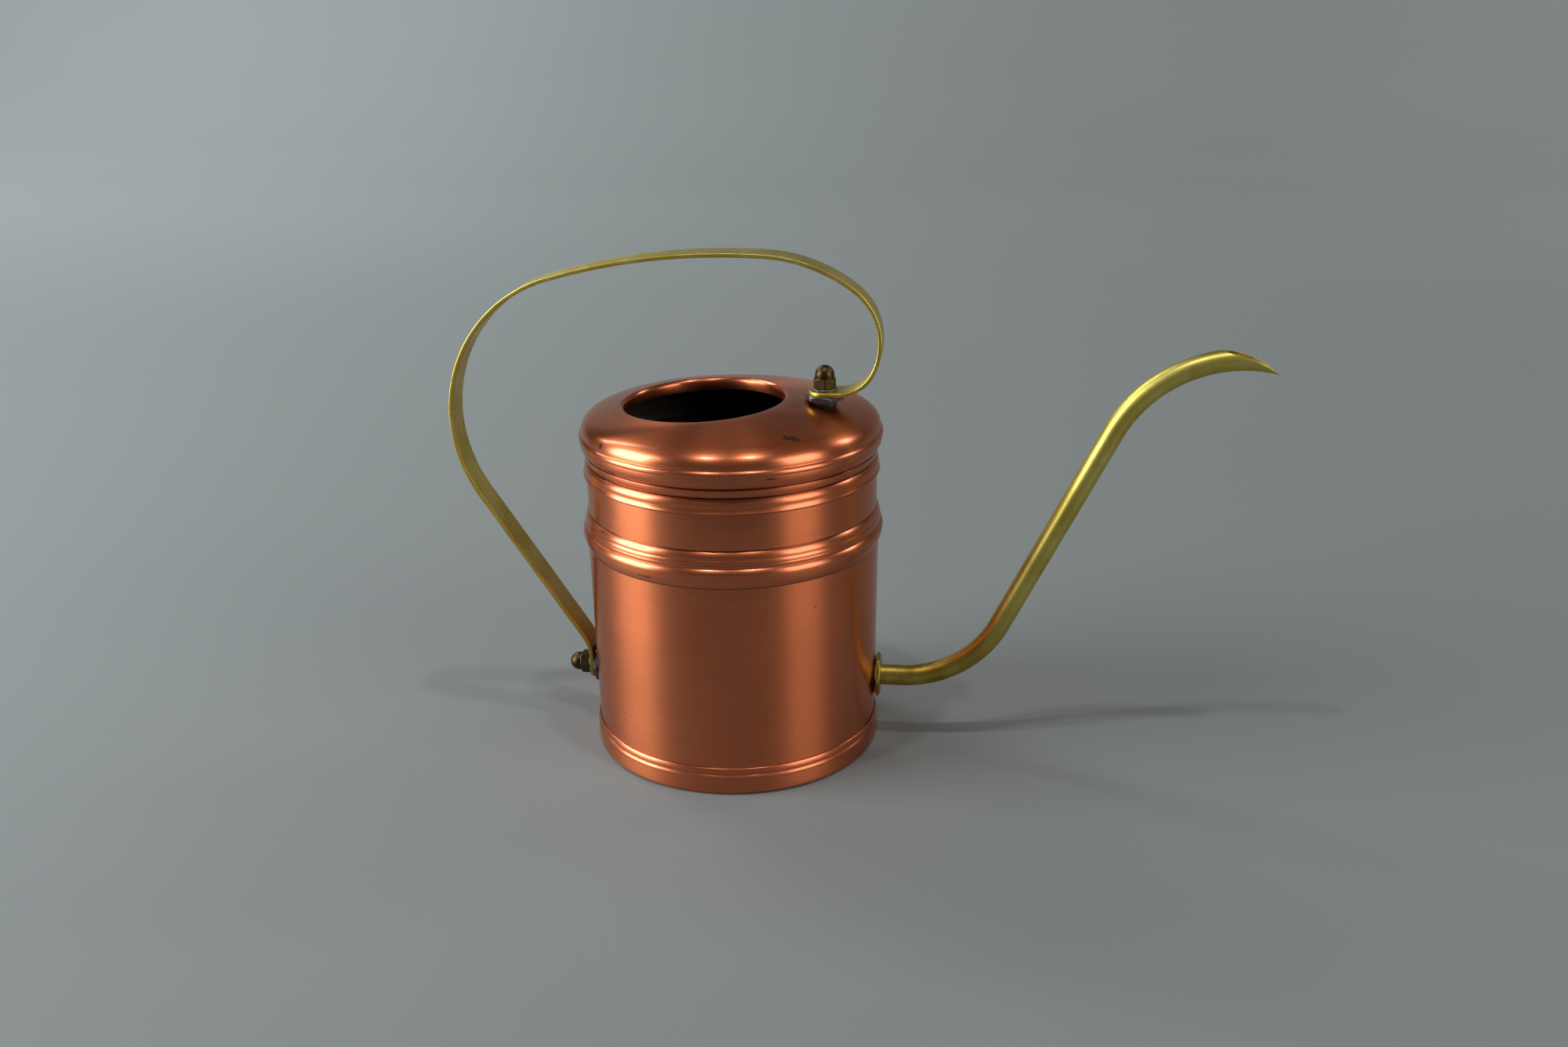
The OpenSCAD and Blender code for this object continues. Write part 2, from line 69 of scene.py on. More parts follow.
CROWN_STEPS = 8
DOME_STEPS = 13
DOME_STEP_ANGLE = 7.4
SHARP_ANGLE = 28
CHAMFER_ANGLE = 30
CORNER_SHARE = 0.985
COINCIDENT = 1e-7
MARK_RAGGED = 2.4
MARK_OUTER = 2.2
MARK_INNER = 1.7
EIGHTH_BOW = 1 - math.sqrt(0.5)

Point = tuple[float, float]
Colour = tuple[float, float, float]


class Slot(Enum):
    """The record's material slots."""

    COPPER = "copper"
    COPPER_BASE = "copper_base"
    BRASS_STRAP = "brass_strap"
    BRASS_TUBE = "brass_tube"
    BRONZE = "bronze"
    ZINC = "zinc"
    RUBBER = "rubber"


# ---------------------------------------------------------------- shader expressions


class Term:
    """A socket in an expression: sums, differences and products of terms add Math nodes."""

    def __init__(self, tree: "Shader", socket: bpy.types.NodeSocket) -> None:
        """Wraps a socket of a shader tree.

        Args:
            tree: The shader that owns the socket.
            socket: An output socket.
        """
        self.tree = tree
        self.socket = socket

    def _math(self, operation: str, *values: Any) -> "Term":
        """Adds one Math node on the given values."""
        node = self.tree.node("ShaderNodeMath", {"operation": operation}, dict(enumerate(values)))
        return self.tree.out(node)

    def __add__(self, other: Any) -> "Term":
        """Sum."""
        return self._math("ADD", self, other)

    def __radd__(self, other: Any) -> "Term":
        """Sum with the number on the left."""
        return self._math("ADD", other, self)

    def __sub__(self, other: Any) -> "Term":
        """Difference."""
        return self._math("SUBTRACT", self, other)

    def __rsub__(self, other: Any) -> "Term":
        """Difference with the number on the left."""
        return self._math("SUBTRACT", other, self)

    def __mul__(self, other: Any) -> "Term":
        """Product."""
        return self._math("MULTIPLY", self, other)

    def __rmul__(self, other: Any) -> "Term":
        """Product with the number on the left."""
        return self._math("MULTIPLY", other, self)

    def absolute(self) -> "Term":
        """The value without its sign."""
        return self._math("ABSOLUTE", self)

    def ramp(self, low: float, high: float) -> "Term":
        """Maps a range smoothly onto 0 to 1 and holds it at both ends.

        Args:
            low: The value that becomes 0.
            high: The value that becomes 1.

        Returns:
            The mapped term.
        """
        settings = {"interpolation_type": "SMOOTHSTEP"}
        values = {"Value": self, "From Min": low, "From Max": high}
        return self.tree.out(self.tree.node("ShaderNodeMapRange", settings, values))


class Shader:
    """One material's node tree, written as expressions."""

    def __init__(self, name: str) -> None:
        """Starts an empty material.

        Args:
            name: The material's name.
        """
        self.material = bpy.data.materials.new(name)
        self.material.use_nodes = True
        self.nodes = self.material.node_tree.nodes
        self.links = self.material.node_tree.links
        self.nodes.clear()
        place = self.node("ShaderNodeTexCoord")
        self.place = self.out(place, "Object")

    def node(
        self, kind: str, settings: dict | None = None, values: dict | None = None
    ) -> bpy.types.Node:
        """Adds a node, sets its settings, then its sockets.

        Args:
            kind: The node's type, such as ShaderNodeMath.
            settings: Attributes of the node.
            values: Socket name or number to a number, a colour or a Term.

        Returns:
            The node.
        """
        node = self.nodes.new(kind)
        for name, value in (settings or {}).items():
            setattr(node, name, value)
        for name, value in (values or {}).items():
            socket = node.inputs[name]
            if isinstance(value, Term):
                self.links.new(value.socket, socket)
            else:
                socket.default_value = value
        return node

    def out(self, node: bpy.types.Node, name: str | int = 0) -> Term:
        """One output of a node as a term."""
        return Term(self, node.outputs[name])

    def vector(self, operation: str, *values: Any, name: str | int = 0) -> Term:
        """Adds one Vector Math node and gives one of its outputs.

        Args:
            operation: What the node does.
            *values: Its inputs, in order.
            name: The output that is wanted.

        Returns:
            The output.
        """
        settings = {"operation": operation}
        return self.out(self.node("ShaderNodeVectorMath", settings, dict(enumerate(values))), name)

    def scaled(self, x: float, y: float, z: float) -> Term:
        """Object coordinates in millimetres, scaled along each axis.

        Args:
            x: Scale along X, per millimetre.
            y: Scale along Y, per millimetre.
            z: Scale along Z, per millimetre.

        Returns:
            A vector term.
        """
        return self.vector("MULTIPLY", self.place, (x / MM, y / MM, z / MM))

    def noise(self, where: Term, detail: float, rough: float) -> Term:
        """Soft noise from 0 to 1 at a place.

        Args:
            where: The vector to read it at, one cell per unit.
            detail: Octaves.
            rough: How much each finer octave counts.

        Returns:
            The noise.
        """
        values = {"Vector": where, "Scale": 1.0, "Detail": detail, "Roughness": rough}
        return self.out(self.node("ShaderNodeTexNoise", {}, values))

    def specks(self, per_mm: float, size: float, keep: float) -> Term:
        """Scattered round specks: one where a speck is.

        Args:
            per_mm: Cells per millimetre.
            size: Speck radius as a part of the cell.
            keep: Share of the cells that hold one.

        Returns:
            A mask from 0 to 1.
        """
        where = self.scaled(per_mm, per_mm, per_mm)
        values = {"Vector": where, "Scale": 1.0}
        cell = self.node("ShaderNodeTexVoronoi", {"feature": "F1"}, values)
        split = self.node("ShaderNodeSeparateColor", {}, {0: self.out(cell, "Color")})
        chosen = self.out(split, 0).ramp(keep, keep - 0.02)
        return self.out(cell, "Distance").ramp(size, size * 0.6) * chosen

    def bands(self, heights: Sequence[float], reach: float) -> Term:
        """Level lines at given heights.

        Args:
            heights: The heights, in millimetres.
            reach: How far each line fades out, in millimetres.

        Returns:
            A mask from 0 to 1.
        """
        total: Any = 0.0
        for height in heights:
            total = (self.height() - height).absolute().ramp(reach, reach * 0.2) + total
        return total

    def marks(self, marks: "Sequence[Mark]", ragged: Term) -> Term:
        """Worn places with ragged edges.

        Args:
            marks: The places.
            ragged: Noise that breaks their edges.

        Returns:
            A mask from 0 to 1.
        """
        total: Any = 0.0
        for mark in marks:
            offset = self.vector("SUBTRACT", self.place, tuple(v * MM for v in mark.place))
            sized = self.vector("DIVIDE", offset, tuple(v * MM for v in mark.size))
            distance = self.vector("LENGTH", sized, name="Value") + ragged * MARK_RAGGED
            total = distance.ramp(MARK_OUTER, MARK_INNER) + total
        return total

    def mix(self, mask: Any, a: Any, b: Any) -> Term:
        """Mixes two colours: a where the mask is 0 and b where it is 1."""
        node = self.node("ShaderNodeMix", {"data_type": "RGBA"}, {0: mask})
        for socket, value in ((node.inputs[6], a), (node.inputs[7], b)):
            if isinstance(value, Term):
                self.links.new(value.socket, socket)
            else:
                socket.default_value = (*value, 1.0)
        return self.out(node, 2)

    def height(self) -> Term:
        """The place along Z, in millimetres."""
        split = self.node("ShaderNodeSeparateXYZ", {}, {0: self.scaled(1, 1, 1)})
        return self.out(split, "Z")

    def bump(self, height: Term, depth: float) -> Term:
        """A normal from a height term.

        Args:
            height: The relief, 0 to 1.
            depth: Its depth in millimetres.

        Returns:
            The normal.
        """
        values = {"Height": height, "Distance": depth * MM}
        return self.out(self.node("ShaderNodeBump", {}, values))

    def surface(self, **sockets: Any) -> bpy.types.Material:
        """Closes the tree with one Principled surface.

        Args:
            **sockets: Socket names with underscores for spaces.

        Returns:
            The finished material.
        """
        values = {name.replace("_", " "): value for name, value in sockets.items()}
        for name, value in values.items():
            if isinstance(value, tuple) and len(value) == 3 and name.endswith("Color"):
                values[name] = (*value, 1.0)
        shader = self.node("ShaderNodeBsdfPrincipled", {}, values)
        self.node("ShaderNodeOutputMaterial", {}, {"Surface": self.out(shader)})
        return self.material


# ---------------------------------------------------------------- finishes


@dataclass(frozen=True)
class Mark:
    """A worn place: its middle and its half sizes, in millimetres."""

    place: tuple[float, float, float]
    size: tuple[float, float, float]


@dataclass(frozen=True)
class BrushedCopper:
    """Clear-lacquered copper with a fine brushed grain that runs round the can."""

    name: str = "brushed_copper"
    base: Colour = (0.54, 0.135, 0.048)
    light: Colour = (0.62, 0.18, 0.072)
    dull: Colour = (0.36, 0.09, 0.034)
    edge: tuple[float, float, float, float] = (0.85, 0.6, 0.5, 1.0)
    # Dark brown for the soot specks and worn marks, and also for the painted shade in the creases.
    soot_and_shade: Colour = (0.035, 0.018, 0.012)
    bare: Colour = (0.86, 0.42, 0.25)
    roughness: float = 0.33
    brushed: float = 0.78
    grain_depth: float = 0.004
    # Heights of the creases that are darkened with painted shade.
    creases: tuple[float, ...] = (81.8, 95.3, 114.6, 118.0)
    marks: tuple[Mark, ...] = (
        Mark((-23.8, -50.7, 83.9), (4.4, 2.6, 0.7)),
        Mark((27.3, -37.7, 132.0), (4.6, 2.8, 1.4)),
        Mark((-40.3, -37.9, 127.2), (1.1, 1.1, 2.2)),
        Mark((21.5, -51.4, 121.6), (3.6, 2.4, 0.45)),
        Mark((-36.0, -42.5, 119.2), (2.2, 2.2, 0.5)),
    )

    def build(self) -> bpy.types.Material:
        """Makes the material."""
        s = Shader(self.name)
        grain = s.noise(s.scaled(0.02, 0.02, 5.0), 4.0, 0.6)
        fine = s.noise(s.scaled(0.06, 0.06, 11.0), 2.0, 0.6)
        clouds = s.noise(s.scaled(0.024, 0.024, 0.03), 3.0, 0.55)
        pits = s.noise(s.scaled(0.6, 0.6, 0.6), 3.0, 0.6)
        patina = clouds.ramp(0.45, 0.75)
        scratches = s.noise(s.scaled(0.25, 0.25, 2.2), 1.0, 0.5).ramp(0.76, 0.8)
        specks = s.specks(0.14, 0.07, 0.22)
        colour = s.mix(grain.ramp(0.3, 0.7) * 0.6, self.base, self.light)
        colour = s.mix(patina * 0.3, colour, self.dull)
        colour = s.mix(scratches * 0.3, colour, self.bare)
        colour = s.mix(specks * 0.75, colour, self.soot_and_shade)
        worn = s.marks(self.marks, pits)
        # Painted shade: thin bands at the crease heights darken towards the dark brown, in place
        # of the shade in the shallow grooves.
        painted_crease_shade = s.bands(self.creases, 0.5)
        colour = s.mix(painted_crease_shade * 0.6, colour, self.soot_and_shade)
        colour = s.mix(worn * 0.92, colour, self.soot_and_shade)
        rough = self.roughness + grain * 0.05 + patina * 0.05 + pits * 0.05 + worn * 0.2 - 0.05
        return s.surface(
            Base_Color=colour,
            Metallic=1.0,
            Roughness=rough,
            Normal=s.bump(grain * 0.6 + fine * 0.4, self.grain_depth),
            Anisotropic=self.brushed,
            Anisotropic_Rotation=0.25,
            Specular_Tint=self.edge,
            Coat_Weight=0.6,
            Coat_Roughness=0.16,
        )


@dataclass(frozen=True)
class NearBlackInside:
    """The unlacquered inside faces of the can, nearly black and matt."""

    name: str = "near_black_inside"

    def build(self) -> bpy.types.Material:
        """Makes the material."""
        s = Shader(self.name)
        stain = s.noise(s.scaled(0.12, 0.12, 0.12), 4.0, 0.6)
        # The inside faces get a near-black colour with a faint random tone.
        colour = s.mix(stain.ramp(0.4, 0.75), (0.012, 0.007, 0.005), (0.045, 0.02, 0.012))
        rough = stain * 0.2 + 0.65
        return s.surface(Base_Color=colour, Roughness=rough, Normal=s.bump(stain, 0.05))


@dataclass(frozen=True)
class AgedBrass:
    """Lacquered brass: olive-gold, speckled and tarnished, and browner towards the bottom."""

    name: str
    base: Colour
    worn: Colour
    tarnish: Colour
    roughness: float
    brown_full_below: float
    brown_none_above: float
    browning: float
    speck_share: float
    speck_depth: float
    mottle: float

    def build(self) -> bpy.types.Material:
        """Makes the material."""
        s = Shader(self.name)
        clouds = s.noise(s.scaled(0.09, 0.09, 0.09), 4.0, 0.6)
        fine = s.noise(s.scaled(1.6, 1.6, 1.6), 3.0, 0.6)
        specks = s.specks(0.9, 0.32, self.speck_share)
        # Browner towards the bottom: the brown is mixed in by height, fully below the lower height
        # and fading out by the upper one.
        browned = s.height().ramp(self.brown_none_above, self.brown_full_below)
        browned = browned * clouds.ramp(0.3, 0.6)
        colour = s.mix(clouds.ramp(0.35, 0.68), self.base, self.worn)
        colour = s.mix(fine.ramp(0.55, 0.72) * self.mottle, colour, self.tarnish)
        colour = s.mix(specks * self.mottle, colour, self.tarnish)
        colour = s.mix(browned * self.browning, colour, self.tarnish)
        rough = self.roughness + fine * 0.12 + specks * 0.08
        normal = s.bump(fine * 0.5 + specks * 0.5, self.speck_depth)
        return s.surface(
            Base_Color=colour,
            Metallic=1.0,
            Roughness=rough,
            Normal=normal,
            Coat_Weight=0.1,
            Coat_Roughness=0.2,
        )


@dataclass(frozen=True)
class PlatedMetal:
    """Small turned or pressed metal pieces with a faint grain and darker dirt."""

    name: str
    base: Colour
    dirt: Colour
    roughness: float

    def build(self) -> bpy.types.Material:
        """Makes the material."""
        s = Shader(self.name)
        fine = s.noise(s.scaled(2.2, 2.2, 2.2), 3.0, 0.6)
        broad = s.noise(s.scaled(0.4, 0.4, 0.4), 2.0, 0.5)
        soiled = fine.ramp(0.45, 0.7) * 0.6 + broad.ramp(0.5, 0.7) * 0.3
        colour = s.mix(soiled, self.base, self.dirt)
        rough = self.roughness + fine * 0.18
        return s.surface(
            Base_Color=colour, Metallic=1.0, Roughness=rough, Normal=s.bump(fine, 0.008)
        )


@dataclass(frozen=True)
class SealRubber:
    """Matt black rubber with a faint dusting."""

    name: str = "seal_rubber"

    def build(self) -> bpy.types.Material:
        """Makes the material."""
        s = Shader(self.name)
        dust = s.noise(s.scaled(1.2, 1.2, 1.2), 3.0, 0.6)
        colour = s.mix(dust.ramp(0.5, 0.8) * 0.4, (0.012, 0.012, 0.013), (0.06, 0.058, 0.055))
        return s.surface(Base_Color=colour, Roughness=dust * 0.2 + 0.6, Normal=s.bump(dust, 0.01))


class Finishes:
    """Every finish of the can, made once each."""

    def __init__(self) -> None:
        """Makes the materials."""
        strap = AgedBrass(
            name="aged_brass_strap",
            base=(0.5, 0.36, 0.05),
            worn=(0.6, 0.48, 0.12),
            tarnish=(0.26, 0.13, 0.015),
            roughness=0.34,
            brown_full_below=20,
            brown_none_above=72,
            browning=0.8,
            speck_share=0.5,
            speck_depth=0.008,
            mottle=0.45,
        )
        tube = AgedBrass(
            name="aged_brass_tube",
            base=(0.46, 0.365, 0.07),
            worn=(0.55, 0.46, 0.12),
            tarnish=(0.3, 0.17, 0.02),
            roughness=0.35,
            brown_full_below=22,
            brown_none_above=62,
            browning=0.9,
            speck_share=0.3,
            speck_depth=0.002,
            mottle=0.18,
        )
        bronze = PlatedMetal("antique_bronze", (0.062, 0.04, 0.016), (0.02, 0.013, 0.006), 0.3)
        zinc = PlatedMetal("zinc_plate", (0.12, 0.123, 0.128), (0.025, 0.024, 0.024), 0.3)
        self.inside = NearBlackInside().build()
        self.by_slot: dict[Slot, bpy.types.Material] = {
            Slot.COPPER: BrushedCopper().build(),
            Slot.COPPER_BASE: BrushedCopper(name="brushed_copper_base", roughness=0.36).build(),
            Slot.BRASS_STRAP: strap.build(),
            Slot.BRASS_TUBE: tube.build(),
            Slot.BRONZE: bronze.build(),
            Slot.ZINC: zinc.build(),
            Slot.RUBBER: SealRubber().build(),
        }


# ---------------------------------------------------------------- meshes


def bow(a: Point, b: Point, rise: float, steps: int = 10) -> list[Point]:
    """Points of an arc from a to b that bows to the right of the way.

    Args:
        a: Start.
        b: End.
        rise: How far the middle stands off the chord; negative bows to the left.
        steps: Number of chords.

    Returns:
        The points, both ends included.
    """
    va, vb = Vector(a), Vector(b)
    run = vb - va
    length = run.length
    along = run / length
    side = Vector((along.y, -along.x))
    radius = (length * length / 4 + rise * rise) / (2 * rise)
    half = math.asin(max(-1.0, min(1.0, length / (2 * radius))))
    centre = (va + vb) / 2 - side * (radius - rise)
    points = []
    for i in range(steps + 1):
        turn = -half + 2 * half * i / steps
        points.append(tuple(centre + radius * (math.cos(turn) * side + math.sin(turn) * along)))
    return points


def soften(points: Sequence[Point], radius: float, sharp: float, steps: int = 3) -> list[Point]:
    """Rounds every corner that turns more than a given angle, and pins long flats beside it.

    Args:
        points: The outline.
        radius: Reach of the rounding along each side.
        sharp: Least turn, in degrees, that is rounded.
        steps: Chords in each rounding.

    Returns:
        The rounded outline.
    """
    result = [points[0]]
    first, second = Vector(points[0]), Vector(points[1])
    if (second - first).length > 4 * radius:
        result.append(tuple(first + (second - first).normalized() * radius * 0.5))
    for before, here, after in zip(points, points[1:], points[2:]):
        p, q, r = Vector(before), Vector(here), Vector(after)
        if (q - p).length < 1e-6 or (r - q).length < 1e-6:
            continue
        turn = math.degrees((q - p).angle(r - q))
        if turn < sharp:
            result.append(tuple(q))
            continue
        reach_in = min(radius, (q - p).length * 0.45)
        reach_out = min(radius, (r - q).length * 0.45)
        start = q + (p - q).normalized() * reach_in
        end = q + (r - q).normalized() * reach_out
        if (p - start).length > 4 * reach_in:
            result.append(tuple(start + (p - start).normalized() * reach_in * 0.8))
        for i in range(steps + 1):
            t = i / steps
            result.append(tuple(start * (1 - t) ** 2 + q * 2 * t * (1 - t) + end * t * t))
        if (r - end).length > 4 * reach_out:
            result.append(tuple(end + (r - end).normalized() * reach_out * 0.8))
    last, near = Vector(points[-1]), Vector(points[-2])
    if (near - last).length > 4 * radius:
        result.append(tuple(last + (near - last).normalized() * radius * 0.5))
    result.append(points[-1])
    return result


def swell(keys: Sequence[tuple[float, float, float]]) -> list[Point]:
    """An outline through key places, each reached by an arc.

    Args:
        keys: Place and bow of each key; the first bow isn't used.

    Returns:
        The outline.
    """
    points = [keys[0][:2]]
    for r, z, rise in keys[1:]:
        points += bow(points[-1], (r, z), rise, 10)[1:]
    return points


def blend(
    a: Point, way_a: float, b: Point, way_b: float, fullness: float, steps: int = 24
) -> list[Point]:
    """A smooth curve from a to b that leaves and arrives on given headings.

    Args:
        a: Start.
        way_a: Heading at the start, in degrees.
        b: End.
        way_b: Heading at the end, in degrees.
        fullness: How far each handle reaches, as a part of the chord.
        steps: Number of chords.

    Returns:
        The points, both ends included.
    """
    start, end = Vector(a), Vector(b)
    reach = (end - start).length * fullness
    out_a = Vector((math.cos(math.radians(way_a)), math.sin(math.radians(way_a))))
    out_b = Vector((math.cos(math.radians(way_b)), math.sin(math.radians(way_b))))
    p, q = start + out_a * reach, end - out_b * reach
    points = []
    for i in range(steps + 1):
        t = i / steps
        u = 1 - t
        points.append(tuple(start * u**3 + p * 3 * t * u * u + q * 3 * t * t * u + end * t**3))
    return points


def inset(points: Sequence[Point], depth: float) -> list[Point]:
    """The inner face of a sheet whose outer face is the outline, moved to the left of the way."""
    result = []
    last = len(points) - 1
    for i, (x, y) in enumerate(points):
        a = Vector(points[max(i - 1, 0)])
        b = Vector(points[min(i + 1, last)])
        way = (b - a).normalized()
        result.append((x - depth * way.y, y + depth * way.x))
    return result


def loft(
    name: str, loops: Sequence[Sequence[Vector]], close_ends: bool, ring: bool = False
) -> bpy.types.Object:
    """A skin through loops of equally many points.

    Args:
        name: The object's name.
        loops: The loops, in millimetres.
        close_ends: Whether the first and last loop are capped.
        ring: Whether the last loop joins on to the first.

    Returns:
        The new object, in metres, with smooth shading.
    """
    mesh = bmesh.new()
    rows = [[mesh.verts.new(Vector(p) * MM) for p in loop] for loop in loops]
    pairs = list(zip(rows, rows[1:]))
    if ring:
        pairs.append((rows[-1], rows[0]))
    for low, high in pairs:
        count = len(low)
        for i in range(count):
            j = (i + 1) % count
            mesh.faces.new((low[i], low[j], high[j], high[i]))
    if close_ends:
        mesh.faces.new(list(reversed(rows[0])))
        mesh.faces.new(rows[-1])
    return finish_mesh(name, mesh)


def finish_mesh(name: str, mesh: bmesh.types.BMesh) -> bpy.types.Object:
    """Turns a bmesh into a smooth-shaded object in the scene."""
    bmesh.ops.remove_doubles(mesh, verts=mesh.verts, dist=COINCIDENT)
    bmesh.ops.recalc_face_normals(mesh, faces=mesh.faces)
    data = bpy.data.meshes.new(name)
    mesh.to_mesh(data)
    mesh.free()
    data.shade_smooth()
    piece = bpy.data.objects.new(name, data)
    bpy.context.scene.collection.objects.link(piece)
    return piece


def circle(radius: float, z: float, count: int = ROUND) -> list[Vector]:
    """A level circle of points about the Z axis."""
    turns = (2 * math.pi * i / count for i in range(count))
    return [Vector((radius * math.cos(t), radius * math.sin(t), z)) for t in turns]


def bevelled(piece: bpy.types.Object, width: float, segments: int = 3) -> bpy.types.Object:
    """Breaks a piece's sharp edges.

    Args:
        piece: The piece.
        width: Bevel width in millimetres.
        segments: Chords across the bevel.

    Returns:
        The piece.
    """
    bevel = piece.modifiers.new("broken_edges", "BEVEL")
    bevel.width = width * MM
    bevel.segments = segments
    bevel.limit_method = "ANGLE"
    bevel.angle_limit = math.radians(SHARP_ANGLE)
    bevel.harden_normals = True
    return piece


# ---------------------------------------------------------------- paths


@dataclass(frozen=True)
class Line:
    """A straight step of a path."""

    length: float

    def at(self, s: float) -> tuple[Vector, float]:
        """Place and turn after s millimetres of the step."""
        return Vector((s, 0.0)), 0.0

    def stations(self) -> list[float]:
        """Where the step needs a section."""
        count = max(1, round(self.length / 6))
        return [self.length * i / count for i in range(count)]


@dataclass(frozen=True)
class Bend:
    """A curved step of a path; a positive angle turns left."""

    radius: float
    angle: float

    @property
    def length(self) -> float:
        """Length along the bend."""
        return self.radius * math.radians(abs(self.angle))

    def at(self, s: float) -> tuple[Vector, float]:
        """Place and turn after s millimetres of the step."""
        side = math.copysign(1.0, self.angle)
        turn = s / self.radius
        place = Vector((self.radius * math.sin(turn), side * self.radius * (1 - math.cos(turn))))
        return place, side * turn

    def stations(self) -> list[float]:
        """Where the step needs a section."""
        count = max(2, math.ceil(abs(self.angle) / 2.5))
        return [self.length * i / count for i in range(count)]


class Path:
    """Lines and bends end to end in the upright XZ plane."""

    def __init__(self, start: Point, steps: Sequence[Line | Bend]) -> None:
        """Lays the steps out from a start that heads along +X.

        Args:
            start: X and Z of the start.
            steps: The steps, in order.
        """
        self.steps = list(steps)
        self.starts: list[tuple[float, Vector, float]] = []
        done, place, turn = 0.0, Vector(start), 0.0
        for step in self.steps:
            self.starts.append((done, place.copy(), turn))
            run, angle = step.at(step.length)
            place = place + Matrix.Rotation(turn, 2) @ run
            turn += angle
            done += step.length
        self.length = done
        self.end = place

    def at(self, s: float) -> tuple[Vector, Vector]:
        """Place on the path and the left-hand normal there, both in the XZ plane."""
        index = 0
        for i, (done, _, _) in enumerate(self.starts):
            if s >= done:
                index = i
        done, place, turn = self.starts[index]
        run, angle = self.steps[index].at(s - done)
        here = place + Matrix.Rotation(turn, 2) @ run
        heading = turn + angle
        return here, Vector((-math.sin(heading), math.cos(heading)))

    def stations(self) -> list[float]:
        """Every place that needs a section, both ends included."""
        result = []
        for (done, _, _), step in zip(self.starts, self.steps):
            result += [done + s for s in step.stations()]
        return result + [self.length]

    def point(self, s: float, off: float, across: float) -> Vector:
        """A point beside the path: off to its left in the plane, and across it along Y."""
        here, normal = self.at(s)
        flat = here + normal * off
        return Vector((flat.x, across, flat.y))


# ---------------------------------------------------------------- the can's parts


class Part:
    """What every part of the can shares: handing its pieces to the frame."""

    def __init__(self, finishes: Finishes) -> None:
        """Keeps the finishes.

        Args:
            finishes: The can's materials.
        """
        self.finishes = finishes

    def dress(self, piece: bpy.types.Object, slot: Slot, *nodes: str) -> bpy.types.Object:
        """Gives a piece its finish and puts it in place of its CAD nodes.

        Args:
            piece: The new piece.
            slot: Its finish.
            *nodes: CAD nodes that it stands for.

        Returns:
            The piece.
        """
        piece.data.materials.clear()
        piece.data.materials.append(self.finishes.by_slot[slot])
        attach(piece, "root")
        if nodes:
            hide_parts(*nodes)
        LOG.info("%s stands for %s", piece.name, ", ".join(nodes))
        return piece

    @staticmethod
    def box(node: str) -> tuple[Vector, Vector]:
        """A CAD node's box in millimetres."""
        low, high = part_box(node)
        return low / MM, high / MM


@dataclass
class CanSizes:
    """Named sizes of the can body that its CAD boxes don't give, in millimetres."""

    sheet: float = 0.5
    pan_gap: float = 0.5
    pan_lip: tuple[tuple[float, float, float], ...] = (
        (0.0, 4.2, 0.0),
        (-0.25, 3.0, 0.18),
        (-0.4, 2.7, 0.08),
        (-0.7, 0.0, 0.35),
    )
    pan_edge: float = 1.6
    rib_out: float = 1.6
    rib: tuple[tuple[float, float, float], ...] = (
        (0.0, 55.5, 0.0),
        (1.6, 51.0, 0.3),
        (0.5, 48.1, 0.5),
        (0.6, 46.5, 0.16),
        (0.25, 45.0, 0.16),
        (-1.1, 42.0, 0.45),
        (-0.7, 41.6, 0.02),
    )
    side: tuple[tuple[float, float, float], ...] = (
        (-0.08, 28.4, 0.0),
        (0.45, 27.7, 0.14),
        (-0.1, 25.8, -0.15),
        (-1.0, 23.0, 0.4),
        (-1.5, 22.7, 0.02),
        (-1.0, 22.4, 0.02),
        (-0.3, 19.6, 0.22),
        (-0.8, 19.3, 0.02),
        (-0.2, 19.0, 0.02),
        (1.3, 14.6, 0.45),
        (0.55, 12.5, 0.5),
    )
    crown_radius: float = 207.0
    crown_reach: float = 47.5
    shoulder_fullness: float = 0.44
    lip_roll: float = 1.5
    lip_depth: float = 4.6
    mouth_diameter: float = 59.6
    mouth_back: float = 10.0


